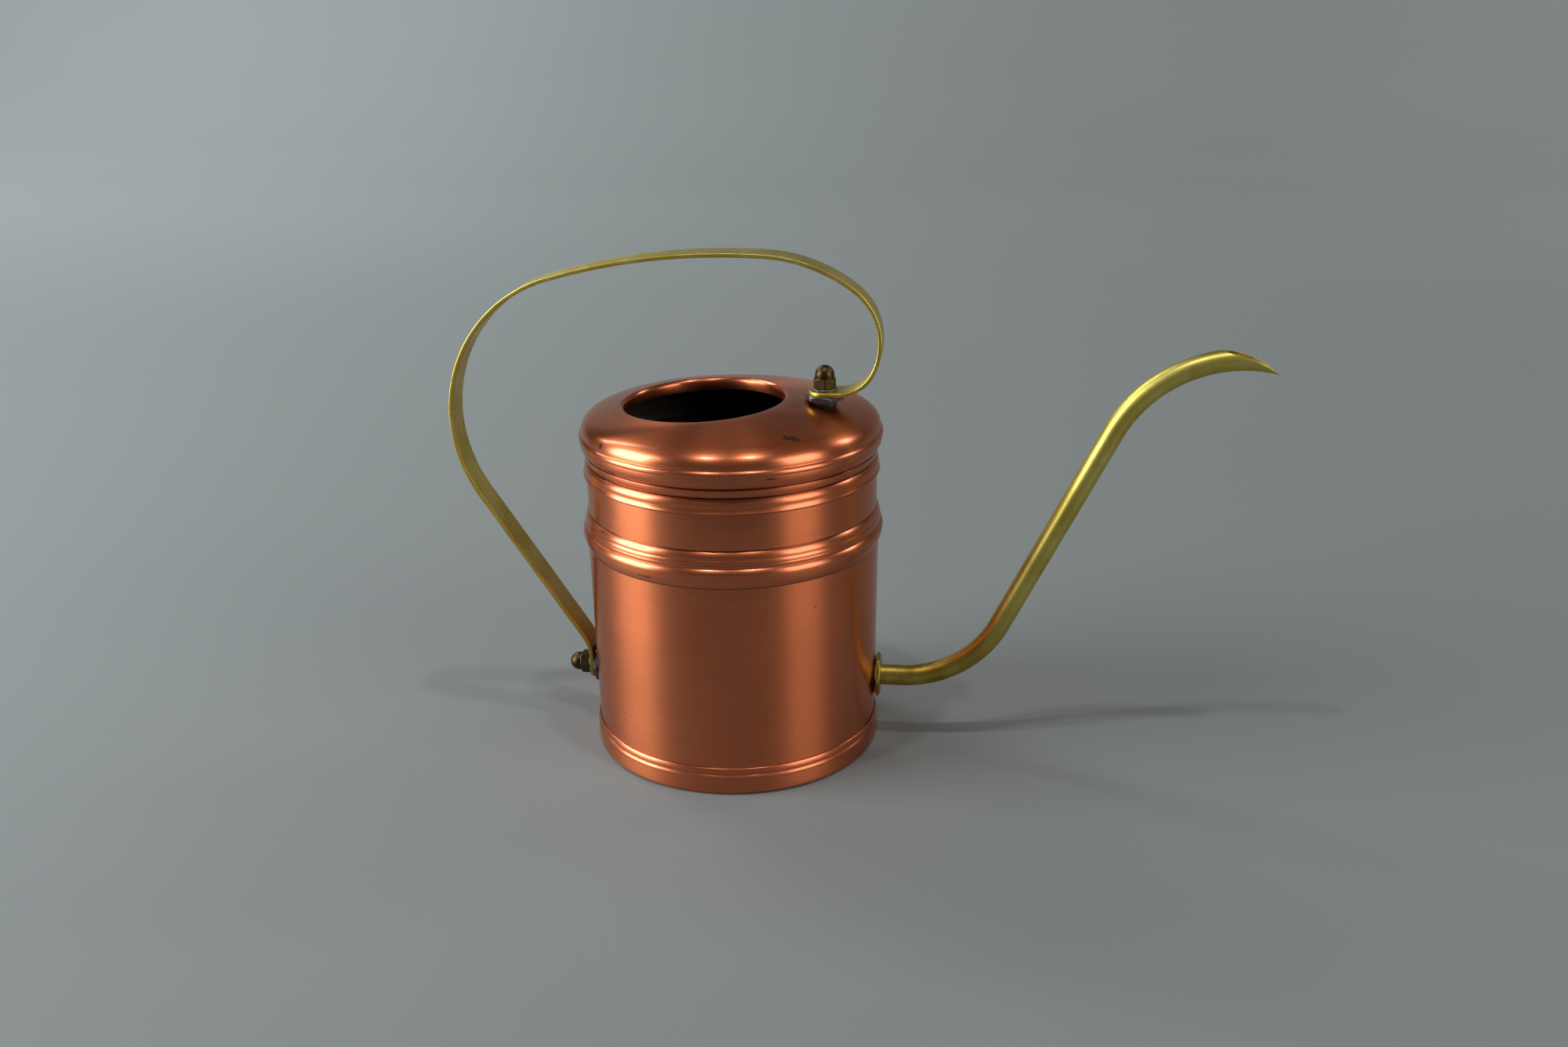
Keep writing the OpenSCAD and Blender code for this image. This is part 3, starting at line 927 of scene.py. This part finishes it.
class Can(Part):
    """Base pan, body shell and domed top."""

    def __init__(self, finishes: Finishes, sizes: CanSizes) -> None:
        """Reads the can's radii and heights from the frame.

        Args:
            finishes: The can's materials.
            sizes: Its named sizes.
        """
        super().__init__(finishes)
        self.z = sizes
        shell_low, shell_high = self.box("body_shell")
        pan_high = self.box("base_pan")[1]
        self.body_r = shell_high.y - sizes.rib_out
        self.pan_r = pan_high.y
        self.pan_top = pan_high.z
        self.foot_r = self.pan_r - sizes.sheet - sizes.pan_gap
        self.foot_z = shell_low.z
        self.shell_top = shell_high.z
        self.mouth_tilt = math.asin(sizes.mouth_back / sizes.crown_radius)
        rim = math.asin((sizes.mouth_diameter / 2 + sizes.lip_roll) / sizes.crown_radius)
        top = self.box("domed_top")[1].z
        self.crown_c = top - sizes.crown_radius * math.cos(rim - self.mouth_tilt)
        self.crown_top = self.crown_c + sizes.crown_radius

    def crown_z(self, r: float) -> float:
        """Height of the crown at a distance from the axis."""
        return self.crown_c + math.sqrt(self.z.crown_radius**2 - r * r)

    def revolve(self, name: str, outer: Sequence[Point]) -> bpy.types.Object:
        """A sheet of revolution whose outer face is the outline."""
        inner = list(reversed(inset(outer, self.z.sheet)))
        return loft(name, [circle(r, h) for r, h in [*outer, *inner]], False, ring=True)

    def dress_sheet(self, piece: bpy.types.Object, slot: Slot, node: str, outside: int) -> None:
        """Dresses a lofted sheet, with its inner face nearly black.

        Args:
            piece: The sheet.
            slot: Finish of its outer face.
            node: CAD node that it stands for.
            outside: Number of loops on its outer face.
        """
        self.dress(piece, slot, node)
        piece.data.materials.append(self.finishes.inside)
        for face in piece.data.polygons:
            if min(face.vertices) >= outside * ROUND:
                face.material_index = 1

    def base_pan(self) -> None:
        """The pan under the foot of the body, with its bottom and its rolled edge."""
        z = self.z
        start, end = (self.pan_r - z.pan_edge, 0.0), (self.pan_r, z.pan_edge)
        edge = bow(start, end, z.pan_edge * EIGHTH_BOW, 8)
        band = [(self.pan_r + r, self.pan_top - drop, rise) for r, drop, rise in z.pan_lip]
        outer = soften([(2.0, 0.0), *edge, *swell(band)], 0.2, 9.0)
        pan_in = self.pan_r - z.sheet
        lap_r = self.foot_r + 0.15
        inner = [(lap_r, self.pan_top - 0.05), (lap_r, self.pan_top - 0.6)]
        inner += [(pan_in, self.pan_top - 1.4), (pan_in, z.sheet + 1)]
        inner += [(pan_in - 1, z.sheet), (2.0, z.sheet)]
        loops = [circle(r, h) for r, h in [*outer, *inner]]
        piece = loft("base_pan_skin", loops, True)
        self.dress_sheet(piece, Slot.COPPER_BASE, "base_pan", len(outer))

    def body_shell(self) -> None:
        """The tapered wall with its big rib, the fine ledge on it, and the neck above."""
        z = self.z
        foot = [(self.foot_r, self.foot_z), (self.foot_r, self.pan_top)]
        rib = swell([(self.body_r + r, self.crown_top - drop, rise) for r, drop, rise in z.rib])
        neck = [(rib[-1][0], self.shell_top)]
        outer = soften([*foot, *rib, *neck], 0.3, 9.0)
        piece = self.revolve("body_shell_skin", outer)
        self.dress_sheet(piece, Slot.COPPER, "body_shell", len(outer))

    def side_outline(self) -> list[Point]:
        """The domed top's side, from its lower edge up to the crown's rim."""
        z = self.z
        side = swell([(self.body_r + r, self.crown_top - drop, rise) for r, drop, rise in z.side])
        rim = (z.crown_reach, self.crown_z(z.crown_reach))
        slope = math.degrees(math.asin(z.crown_reach / z.crown_radius))
        return side + blend(side[-1], 86.0, rim, 180.0 - slope, z.shoulder_fullness)[1:]

    def domed_top(self) -> None:
        """The cap: its side, the crown that narrows onto the mouth, and the mouth's rolled lip."""
        z = self.z
        side = soften(self.side_outline(), 0.35, 9.0)
        tilt = Matrix.Rotation(-self.mouth_tilt, 4, "Y")
        centre = Vector((0.0, 0.0, self.crown_c))
        hole_r = z.mouth_diameter / 2 + z.lip_roll

        def mouth_ring(r: float, h: float) -> list[Vector]:
            """A circle about the mouth's own axis, h above the crown's centre."""
            return [centre + tilt @ p for p in circle(r, h)]

        def crown_rings(
            radius: float, rim: list[Vector], hole: list[Vector]
        ) -> list[list[Vector]]:
            """Rings between the crown's rim and the mouth, all on a sphere."""
            rings = []
            for k in range(1, CROWN_STEPS):
                t = k / CROWN_STEPS
                ring = []
                for a, b in zip(rim, hole):
                    p = a.lerp(b, t) - centre
                    ring.append(centre + p.normalized() * radius)
                rings.append(ring)
            return rings

        outer_r = z.crown_radius
        inner_r = outer_r - z.sheet
        top = math.sqrt(outer_r**2 - hole_r**2)
        lip_r = z.mouth_diameter / 2
        roll = bow((hole_r, top), (lip_r, top - z.lip_roll), z.lip_roll * EIGHTH_BOW, 8)
        lip_out = [*roll, (lip_r, top - z.lip_depth + 0.2), (lip_r + 0.2, top - z.lip_depth)]
        lip_in = [
            (lip_r + z.sheet - 0.1, top - z.lip_depth),
            (lip_r + z.sheet, top - z.lip_roll - 0.2),
            (hole_r, math.sqrt(inner_r**2 - hole_r**2)),
        ]
        rim_out = circle(*side[-1])
        inner = list(reversed(inset(side, z.sheet)))
        rim_in = circle(*inner[0])
        loops = [circle(r, h) for r, h in side]
        loops += crown_rings(outer_r, rim_out, mouth_ring(*lip_out[0]))
        loops += [mouth_ring(r, h) for r, h in lip_out]
        outside = len(loops)
        loops += [mouth_ring(r, h) for r, h in lip_in]
        loops += reversed(crown_rings(inner_r, rim_in, mouth_ring(*lip_in[-1])))
        loops += [circle(r, h) for r, h in inner]
        piece = loft("domed_top_skin", loops, False, ring=True)
        self.dress_sheet(piece, Slot.COPPER, "domed_top", outside)

    def build(self) -> None:
        """Builds the can's three sheets."""
        self.base_pan()
        self.body_shell()
        self.domed_top()


@dataclass
class StrapSizes:
    """The strap's bends, in millimetres and degrees."""

    width: float = 12.0
    thickness: float = 1.5
    flat: float = 4.8
    curl: tuple[Bend, ...] = (Bend(14.6, 62.8), Bend(24.2, 80.3), Bend(58.9, 34.5))
    grip: Bend = Bend(238.0, 18.7)
    back_radius: float = 55.5
    leg_angle: float = 32.7
    foot_radius: float = 15.4
    foot_flat: float = 4.8
    arris: float = 0.32


class Strap(Part):
    """The brass strap, bent from a flat bar with half-round ends."""

    def __init__(self, finishes: Finishes, sizes: StrapSizes) -> None:
        """Finds both screws in the frame and closes the strap between them.

        Args:
            finishes: The can's materials.
            sizes: The strap's bends.
        """
        super().__init__(finishes)
        self.z = sizes
        strap_low = self.box("handle_strap")[0]
        half = sizes.width / 2
        top_washer = self.box("top_washer")
        rear_washer = self.box("rear_washer")
        screw_x = (top_washer[0].x + top_washer[1].x) / 2
        self.start = (screw_x - half, top_washer[0].z - sizes.thickness / 2)
        self.finish = Vector((rear_washer[1].x + sizes.thickness / 2, strap_low.z))
        self.path = self._close()

    def _steps(self, grip: float, leg: float) -> list[Line | Bend]:
        """The strap's steps for a given straight grip and leg."""
        z = self.z
        turned = sum(b.angle for b in z.curl) + z.grip.angle
        back = Bend(z.back_radius, 270 + z.leg_angle - turned)
        half = z.width / 2
        steps = [Line(half + z.flat), *z.curl, Line(grip), z.grip, back, Line(leg)]
        return [*steps, Bend(z.foot_radius, -z.leg_angle), Line(z.foot_flat + half)]

    def _close(self) -> Path:
        """Finds the straight grip and leg that make the strap meet both screws."""
        missing = self.finish - Path(self.start, self._steps(0.0, 0.0)).end
        grip_turn = math.radians(sum(b.angle for b in self.z.curl))
        leg_turn = math.radians(270 + self.z.leg_angle)
        g = Vector((math.cos(grip_turn), math.sin(grip_turn)))
        l = Vector((math.cos(leg_turn), math.sin(leg_turn)))
        cross = g.x * l.y - g.y * l.x
        grip = (missing.x * l.y - missing.y * l.x) / cross
        leg = (g.x * missing.y - g.y * missing.x) / cross
        return Path(self.start, self._steps(grip, leg))

    def _stations(self) -> list[tuple[float, float]]:
        """Every section's place along the strap and its half width."""
        half = self.z.width / 2
        total = self.path.length
        turns = [math.radians(a) for a in (4, 9, 15, 22, 30, 38, 46, 54, 62, 70, 77, 84)]
        ends = [(half * (1 - math.cos(t)), half * math.sin(t)) for t in turns]
        middle = [(s, half) for s in self.path.stations() if half <= s <= total - half]
        return ends + middle + [(total - s, w) for s, w in reversed(ends)]

    def section(self, half: float) -> list[Point]:
        """The bar's section as (across, off), with its arrises eased."""
        t = self.z.thickness / 2
        ease = min(self.z.arris, half * 0.6)
        turns = (0, math.pi / 6, math.pi / 3, math.pi / 2)
        corner = [(math.sin(a), 1 - math.cos(a)) for a in turns]
        quarter = [(half - ease * (1 - s), t - ease * c) for s, c in corner]
        flat_pins = [(0.0, t), (half - ease - min(0.5, half * 0.2), t)]
        upper = [*flat_pins, *quarter]
        right = upper + [(x, -y) for x, y in reversed(upper)]
        return right + [(-x, y) for x, y in reversed(right)][1:-1]

    def build(self) -> None:
        """Builds the strap."""
        loops = []
        for s, half in self._stations():
            loops.append([self.path.point(s, off, across) for across, off in self.section(half)])
        self.dress(loft("strap_bar", loops, True), Slot.BRASS_STRAP, "handle_strap")


@dataclass
class SpoutSizes:
    """The spout's bends and its slanting cut, in millimetres and degrees."""

    diameter: float = 8.0
    bore: float = 6.6
    root: float = 10.0
    lower_bend: Bend = Bend(41.3, 64.0)
    neck: float = 86.0
    upper_bend: Bend = Bend(49.7, -76.0)
    end: float = 2.0
    cut_angle: float = 22.5
    cut_bow: float = 0.04


class Spout(Part):
    """The swan-neck tube with its slanting, slightly bowed cut."""

    def __init__(self, finishes: Finishes, sizes: SpoutSizes) -> None:
        """Finds the tube's start and root in the frame.

        Args:
            finishes: The can's materials.
            sizes: The tube's bends.
        """
        super().__init__(finishes)
        self.z = sizes
        low = self.box("spout_tube")[0]
        flange = self.box("spout_flange_nut")
        root = Line(flange[0].x + sizes.root - low.x)
        steps = [root, sizes.lower_bend, Line(sizes.neck), sizes.upper_bend, Line(sizes.end)]
        self.path = Path((low.x, (flange[0].z + flange[1].z) / 2), steps)
        self.cut_span = sizes.upper_bend.radius * math.radians(sizes.cut_angle) + sizes.end

    def cut_length(self, off: float) -> float:
        """How far along the path the tube's wall reaches at a height off its middle."""
        z = self.z
        share = (off + z.diameter / 2) / z.diameter
        bowed = share + z.cut_bow * 4 * share * (share - 1)
        return self.path.length - self.cut_span * bowed

    def wall(self, radius: float) -> list[list[Vector]]:
        """Loops of one face of the tube, the last one on the cut."""
        fixed = self.path.length - self.cut_span - 6
        turns = [2 * math.pi * i / TUBE_ROUND for i in range(TUBE_ROUND)]
        ring = [(radius * math.cos(t), radius * math.sin(t)) for t in turns]
        loops = []
        for s in self.path.stations():
            if s < fixed:
                loops.append([self.path.point(s, off, across) for off, across in ring])
        for k in range(CUT_STEPS + 1):
            loop = []
            for off, across in ring:
                s = fixed + (self.cut_length(off) - fixed) * k / CUT_STEPS
                loop.append(self.path.point(s, off, across))
            loops.append(loop)
        return loops

    def build(self) -> None:
        """Builds the tube."""
        outer = self.wall(self.z.diameter / 2)
        inner = self.wall(self.z.bore / 2)
        tube = loft("spout_pipe", outer + list(reversed(inner)), False, ring=True)
        self.dress(bevelled(tube, 0.08, 2), Slot.BRASS_TUBE, "spout_tube")


class Facing(Enum):
    """Which way a stack of fixings points."""

    UP = "up"
    REAR = "rear"
    FRONT = "front"

    def turn(self) -> Matrix:
        """Rotation that takes +Z to this way."""
        angle = {Facing.UP: 0.0, Facing.REAR: -90.0, Facing.FRONT: 90.0}[self]
        return Matrix.Rotation(math.radians(angle), 4, "Y")


@dataclass
class FixingSizes:
    """Sizes of the visible nuts and washers, in millimetres."""

    cap_flats: float = 8.0
    cap_hex: float = 3.6
    spacer_flats: float = 13.0
    spacer_turn: float = 20.0
    flange_flats: float = 15.0
    screw: float = 5.0
    tube: float = 8.0
    gap: float = 0.15


class Fixings(Part):
    """Cap nuts, washers, thin spacer nuts and the spout's flange nut."""

    def __init__(self, finishes: Finishes, sizes: FixingSizes) -> None:
        """Keeps the sizes.

        Args:
            finishes: The can's materials.
            sizes: Sizes of the nuts and washers.
        """
        super().__init__(finishes)
        self.z = sizes

    def _stand(self, node: str, facing: Facing) -> tuple[Vector, float]:
        """Foot of a CAD node on its axis, and its height along it."""
        low, high = self.box(node)
        middle = (low + high) / 2
        if facing is Facing.UP:
            return Vector((middle.x, middle.y, low.z)), high.z - low.z
        if facing is Facing.REAR:
            return Vector((high.x, middle.y, middle.z)), high.x - low.x
        return Vector((low.x, middle.y, middle.z)), high.x - low.x

    def _place(self, piece: bpy.types.Object, foot: Vector, facing: Facing) -> bpy.types.Object:
        """Moves a piece's mesh from its own stand to its place."""
        piece.data.transform(Matrix.Translation(foot * MM) @ facing.turn())
        return piece

    @staticmethod
    def hex_loop(
        flats: float, z: Callable[[float], float] | float, turn: float, limit: float
    ) -> list[Vector]:
        """A hexagon as a loop of points, held inside a circle.

        Args:
            flats: Width across flats.
            z: Height, or a function of the distance from the axis.
            turn: Turn about the axis, in degrees.
            limit: Greatest distance from the axis.

        Returns:
            The loop.
        """
        loop = []
        for i in range(HEX_ROUND):
            angle = 2 * math.pi * i / HEX_ROUND
            fold = (math.degrees(angle) + 30) % 60 - 30
            r = min(flats / 2 / math.cos(math.radians(fold)), limit)
            h = z(r) if callable(z) else z
            whole = angle + math.radians(turn)
            loop.append(Vector((r * math.cos(whole), r * math.sin(whole), h)))
        return loop

    def hex_nut(
        self, node: str, facing: Facing, flats: float, bore: float, turn: float, slot: Slot
    ) -> None:
        """A thin hexagon nut, chamfered on its outer face.

        Args:
            node: The CAD node it stands for.
            facing: Which way its outer face points.
            flats: Width across flats.
            bore: Radius of its hole.
            turn: Turn about its axis, in degrees.
            slot: Its finish.
        """
        foot, height = self._stand(node, facing)
        chamfer_r = flats / 2 * 0.97
        corner = flats / math.sqrt(3) * CORNER_SHARE

        def top(r: float) -> float:
            """Height of the chamfered face at a distance from the axis."""
            return height - max(0.0, r - chamfer_r) * math.tan(math.radians(CHAMFER_ANGLE))

        loops = [
            circle(bore, 0.0, HEX_ROUND),
            self.hex_loop(flats, lambda r: height - top(r), turn, corner),
            self.hex_loop(flats, top, turn, corner),
            self.hex_loop(flats, height, turn, chamfer_r),
            circle(bore, height, HEX_ROUND),
        ]
        turned = Matrix.Rotation(math.radians(turn), 4, "Z")
        loops[0] = [turned @ p for p in loops[0]]
        loops[4] = [turned @ p for p in loops[4]]
        piece = self._place(loft(node + "_hex", loops, False, ring=True), foot, facing)
        self.dress(bevelled(piece, 0.12), slot, node)

    def washer(self, node: str, facing: Facing) -> None:
        """A stamped plain washer with one eased edge."""
        foot, height = self._stand(node, facing)
        low, high = self.box(node)
        radius = (high.y - low.y) / 2
        hole = self.z.screw / 2 + self.z.gap
        loops = [
            circle(hole, 0.0, DISC_ROUND),
            circle(radius - 0.05, 0.0, DISC_ROUND),
            circle(radius, 0.1, DISC_ROUND),
            circle(radius, height - 0.22, DISC_ROUND),
            circle(radius - 0.22, height, DISC_ROUND),
            circle(hole, height, DISC_ROUND),
        ]
        piece = self._place(loft(node + "_disc", loops, False, ring=True), foot, facing)
        self.dress(bevelled(piece, 0.05, 2), Slot.ZINC, node)

    def cap_nut(self, node: str, facing: Facing, turn: float) -> None:
        """A closed nut: chamfered hexagon, a small neck and a dome."""
        foot, height = self._stand(node, facing)
        z = self.z
        dome_r = z.cap_flats * 0.45
        chamfer_r = z.cap_flats / 2 * 0.96
        corner = z.cap_flats / math.sqrt(3) * CORNER_SHARE

        def top(r: float) -> float:
            """Height of the hexagon's chamfer."""
            return z.cap_hex - max(0.0, r - chamfer_r) * math.tan(math.radians(CHAMFER_ANGLE))

        loops = [
            self.hex_loop(z.cap_flats, lambda r: z.cap_hex - top(r), turn, corner),
            self.hex_loop(z.cap_flats, top, turn, corner),
            self.hex_loop(z.cap_flats, z.cap_hex, turn, chamfer_r),
        ]
        rows = [(dome_r + 0.02, z.cap_hex + 0.02), (dome_r - 0.08, z.cap_hex + 0.25)]
        rows += [(dome_r, z.cap_hex + 0.6)]
        for k in range(DOME_STEPS):
            rise = math.radians(DOME_STEP_ANGLE * k)
            rows.append((dome_r * math.cos(rise), height - dome_r + dome_r * math.sin(rise)))
        turned = Matrix.Rotation(math.radians(turn), 4, "Z")
        loops += [[turned @ p for p in circle(r, h, HEX_ROUND)] for r, h in rows]
        piece = self._place(loft(node + "_cap", loops, True), foot, facing)
        self.dress(bevelled(piece, 0.12), Slot.BRONZE, node)

    def keep(self) -> None:
        """Dresses the CAD nodes inside the can, whose shapes are right as they are."""
        seals = ("top_seal", "top_inner_seal", "rear_seal", "rear_inner_seal")
        slots = {
            Slot.RUBBER: (*seals, "spout_seal", "spout_inner_seal"),
            Slot.ZINC: ("top_inner_washer", "top_screw", "rear_inner_washer", "rear_screw"),
            Slot.BRASS_TUBE: ("spout_inner_washer", "spout_lock_nut"),
        }
        for slot, names in slots.items():
            for name in names:
                node = bpy.data.objects[name]
                node.data.materials.clear()
                node.data.materials.append(self.finishes.by_slot[slot])
                LOG.info("%s keeps its shape", name)

    def build(self) -> None:
        """Builds every visible fixing."""
        z = self.z
        hole = z.screw / 2 + z.gap
        self.cap_nut("top_cap_nut", Facing.UP, 8.0)
        self.washer("top_washer", Facing.UP)
        self.hex_nut("top_spacer_nut", Facing.UP, z.spacer_flats, hole, z.spacer_turn, Slot.ZINC)
        self.cap_nut("rear_cap_nut", Facing.REAR, 0.0)
        self.washer("rear_washer", Facing.REAR)
        self.hex_nut("rear_spacer_nut", Facing.REAR, z.spacer_flats, hole, 0.0, Slot.ZINC)
        bore = z.tube / 2 + 0.05
        self.hex_nut(
            "spout_flange_nut", Facing.FRONT, z.flange_flats, bore, 0.0, Slot.BRASS_TUBE
        )
        self.keep()


# ---------------------------------------------------------------- studio


@dataclass(frozen=True)
class Softbox:
    """A soft rectangular light aimed at the can; lengths in metres, angles in degrees."""

    name: str
    azimuth: float
    elevation: float
    distance: float
    width: float
    height: float
    watts: float
    colour: Colour = (1.0, 1.0, 1.0)

    def hang(self, aim: Vector) -> None:
        """Places the light about a point and turns it to face it.

        Args:
            aim: The point it faces, in metres.
        """
        data = bpy.data.lights.new(self.name, "AREA")
        data.shape = "RECTANGLE"
        data.size = self.width
        data.size_y = self.height
        data.energy = self.watts
        data.color = self.colour
        lamp = bpy.data.objects.new(self.name, data)
        turn, rise = math.radians(self.azimuth), math.radians(self.elevation)
        level = Vector((math.sin(turn), -math.cos(turn), 0.0)) * math.cos(rise)
        way = level + Vector((0.0, 0.0, math.sin(rise)))
        lamp.location = aim + way * self.distance
        lamp.rotation_euler = (-way).to_track_quat("-Z", "Y").to_euler()
        bpy.context.scene.collection.objects.link(lamp)


@dataclass
class Studio:
    """Plain pale floor, soft lights and the camera; lengths in metres, angles in degrees."""

    camera_at: Vector = field(default_factory=lambda: Vector((0.0880, -0.5217, 0.2821)))
    forward: Vector = field(default_factory=lambda: Vector((-0.1223, 0.9293, -0.3486)))
    upward: Vector = field(default_factory=lambda: Vector((-0.0329, 0.3472, 0.9372)))
    lens: float = 33.98
    sensor: float = 36.0
    floor_half: float = 3.0
    floor_grey: float = 0.155
    floor_tint: Colour = (0.93, 1.0, 0.99)
    world_grey: Colour = (0.42, 0.44, 0.45)
    world_strength: float = 0.22

    def floor(self) -> None:
        """A level floor that sweeps up far behind the can."""
        loops = []
        profile = [(-2.5, 0.0), (1.6, 0.0)]
        sweep = (0.2, 0.4, 0.7, 1.0, 1.3, 1.57)
        profile += [(1.6 + 1.4 * math.sin(t), 1.4 * (1 - math.cos(t))) for t in sweep]
        profile += [(3.0, 4.0)]
        mesh = bmesh.new()
        for y, z in profile:
            loops.append([mesh.verts.new((x, y, z)) for x in (-self.floor_half, self.floor_half)])
        for (a, b), (c, d) in zip(loops, loops[1:]):
            mesh.faces.new((a, b, d, c))
        data = bpy.data.meshes.new("floor")
        mesh.to_mesh(data)
        mesh.free()
        data.shade_smooth()
        floor = bpy.data.objects.new("floor", data)
        bpy.context.scene.collection.objects.link(floor)
        s = Shader("floor_paper")
        tone = s.noise(s.scaled(0.002, 0.002, 0.002), 2.0, 0.5)
        greys = (self.floor_grey * 0.96, self.floor_grey * 1.04)
        shades = [tuple(grey * t for t in self.floor_tint) for grey in greys]
        colour = s.mix(tone, *shades)
        data.materials.append(s.surface(Base_Color=colour, Roughness=0.75))

    def world(self) -> None:
        """Even grey light from all round."""
        world = bpy.data.worlds.new("studio_air")
        bpy.context.scene.world = world
        world.use_nodes = True
        background = world.node_tree.nodes["Background"]
        background.inputs["Color"].default_value = (*self.world_grey, 1.0)
        background.inputs["Strength"].default_value = self.world_strength

    def lights(self) -> None:
        """A soft box on each side, two small lamps high in front and a wash on the backdrop."""
        for box in (
            Softbox("left_softbox", -72.0, 15.0, 1.2, 0.72, 1.2, 28.0, (0.92, 0.98, 1.0)),
            Softbox("right_softbox", 62.0, 15.0, 1.2, 0.6, 1.2, 9.0, (1.0, 0.97, 0.92)),
            Softbox("front_lamp_left", -36.0, 74.0, 1.6, 0.07, 0.07, 4.6),
            Softbox("front_lamp_right", 44.0, 76.0, 1.6, 0.07, 0.07, 4.6),
        ):
            box.hang(Vector((0.0, 0.0, 0.08)))
        left_wash = Softbox("left_wash", -12.0, 50.0, 1.8, 1.4, 0.8, 74.0, (0.92, 0.98, 1.0))
        left_wash.hang(Vector((-1.35, 2.3, 0.2)))
        right_wash = Softbox("right_wash", 12.0, 50.0, 1.8, 1.2, 0.8, 34.0, (1.0, 0.99, 0.95))
        right_wash.hang(Vector((1.45, 2.3, 0.2)))

    def camera(self) -> None:
        """The camera, at its place and angle."""
        data = bpy.data.cameras.new("camera")
        data.lens = self.lens
        data.sensor_width = self.sensor
        data.sensor_fit = "HORIZONTAL"
        data.clip_start = 0.01
        camera = bpy.data.objects.new("camera", data)
        back = -self.forward.normalized()
        right = self.upward.cross(back).normalized()
        up = back.cross(right)
        turn = Matrix((right, up, back)).transposed().to_4x4()
        camera.matrix_world = Matrix.Translation(self.camera_at) @ turn
        bpy.context.scene.collection.objects.link(camera)
        bpy.context.scene.camera = camera

    def build(self) -> None:
        """Sets the stage."""
        bpy.context.scene.view_settings.view_transform = "Standard"
        self.floor()
        self.world()
        self.lights()
        self.camera()


def main() -> None:
    """Loads the frame, builds every part and sets the stage."""
    logging.basicConfig(level=logging.INFO, format="%(name)s: %(message)s")
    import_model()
    finishes = Finishes()
    Can(finishes, CanSizes()).build()
    Strap(finishes, StrapSizes()).build()
    Spout(finishes, SpoutSizes()).build()
    Fixings(finishes, FixingSizes()).build()
    Studio().build()


if __name__ == "__main__":
    main()
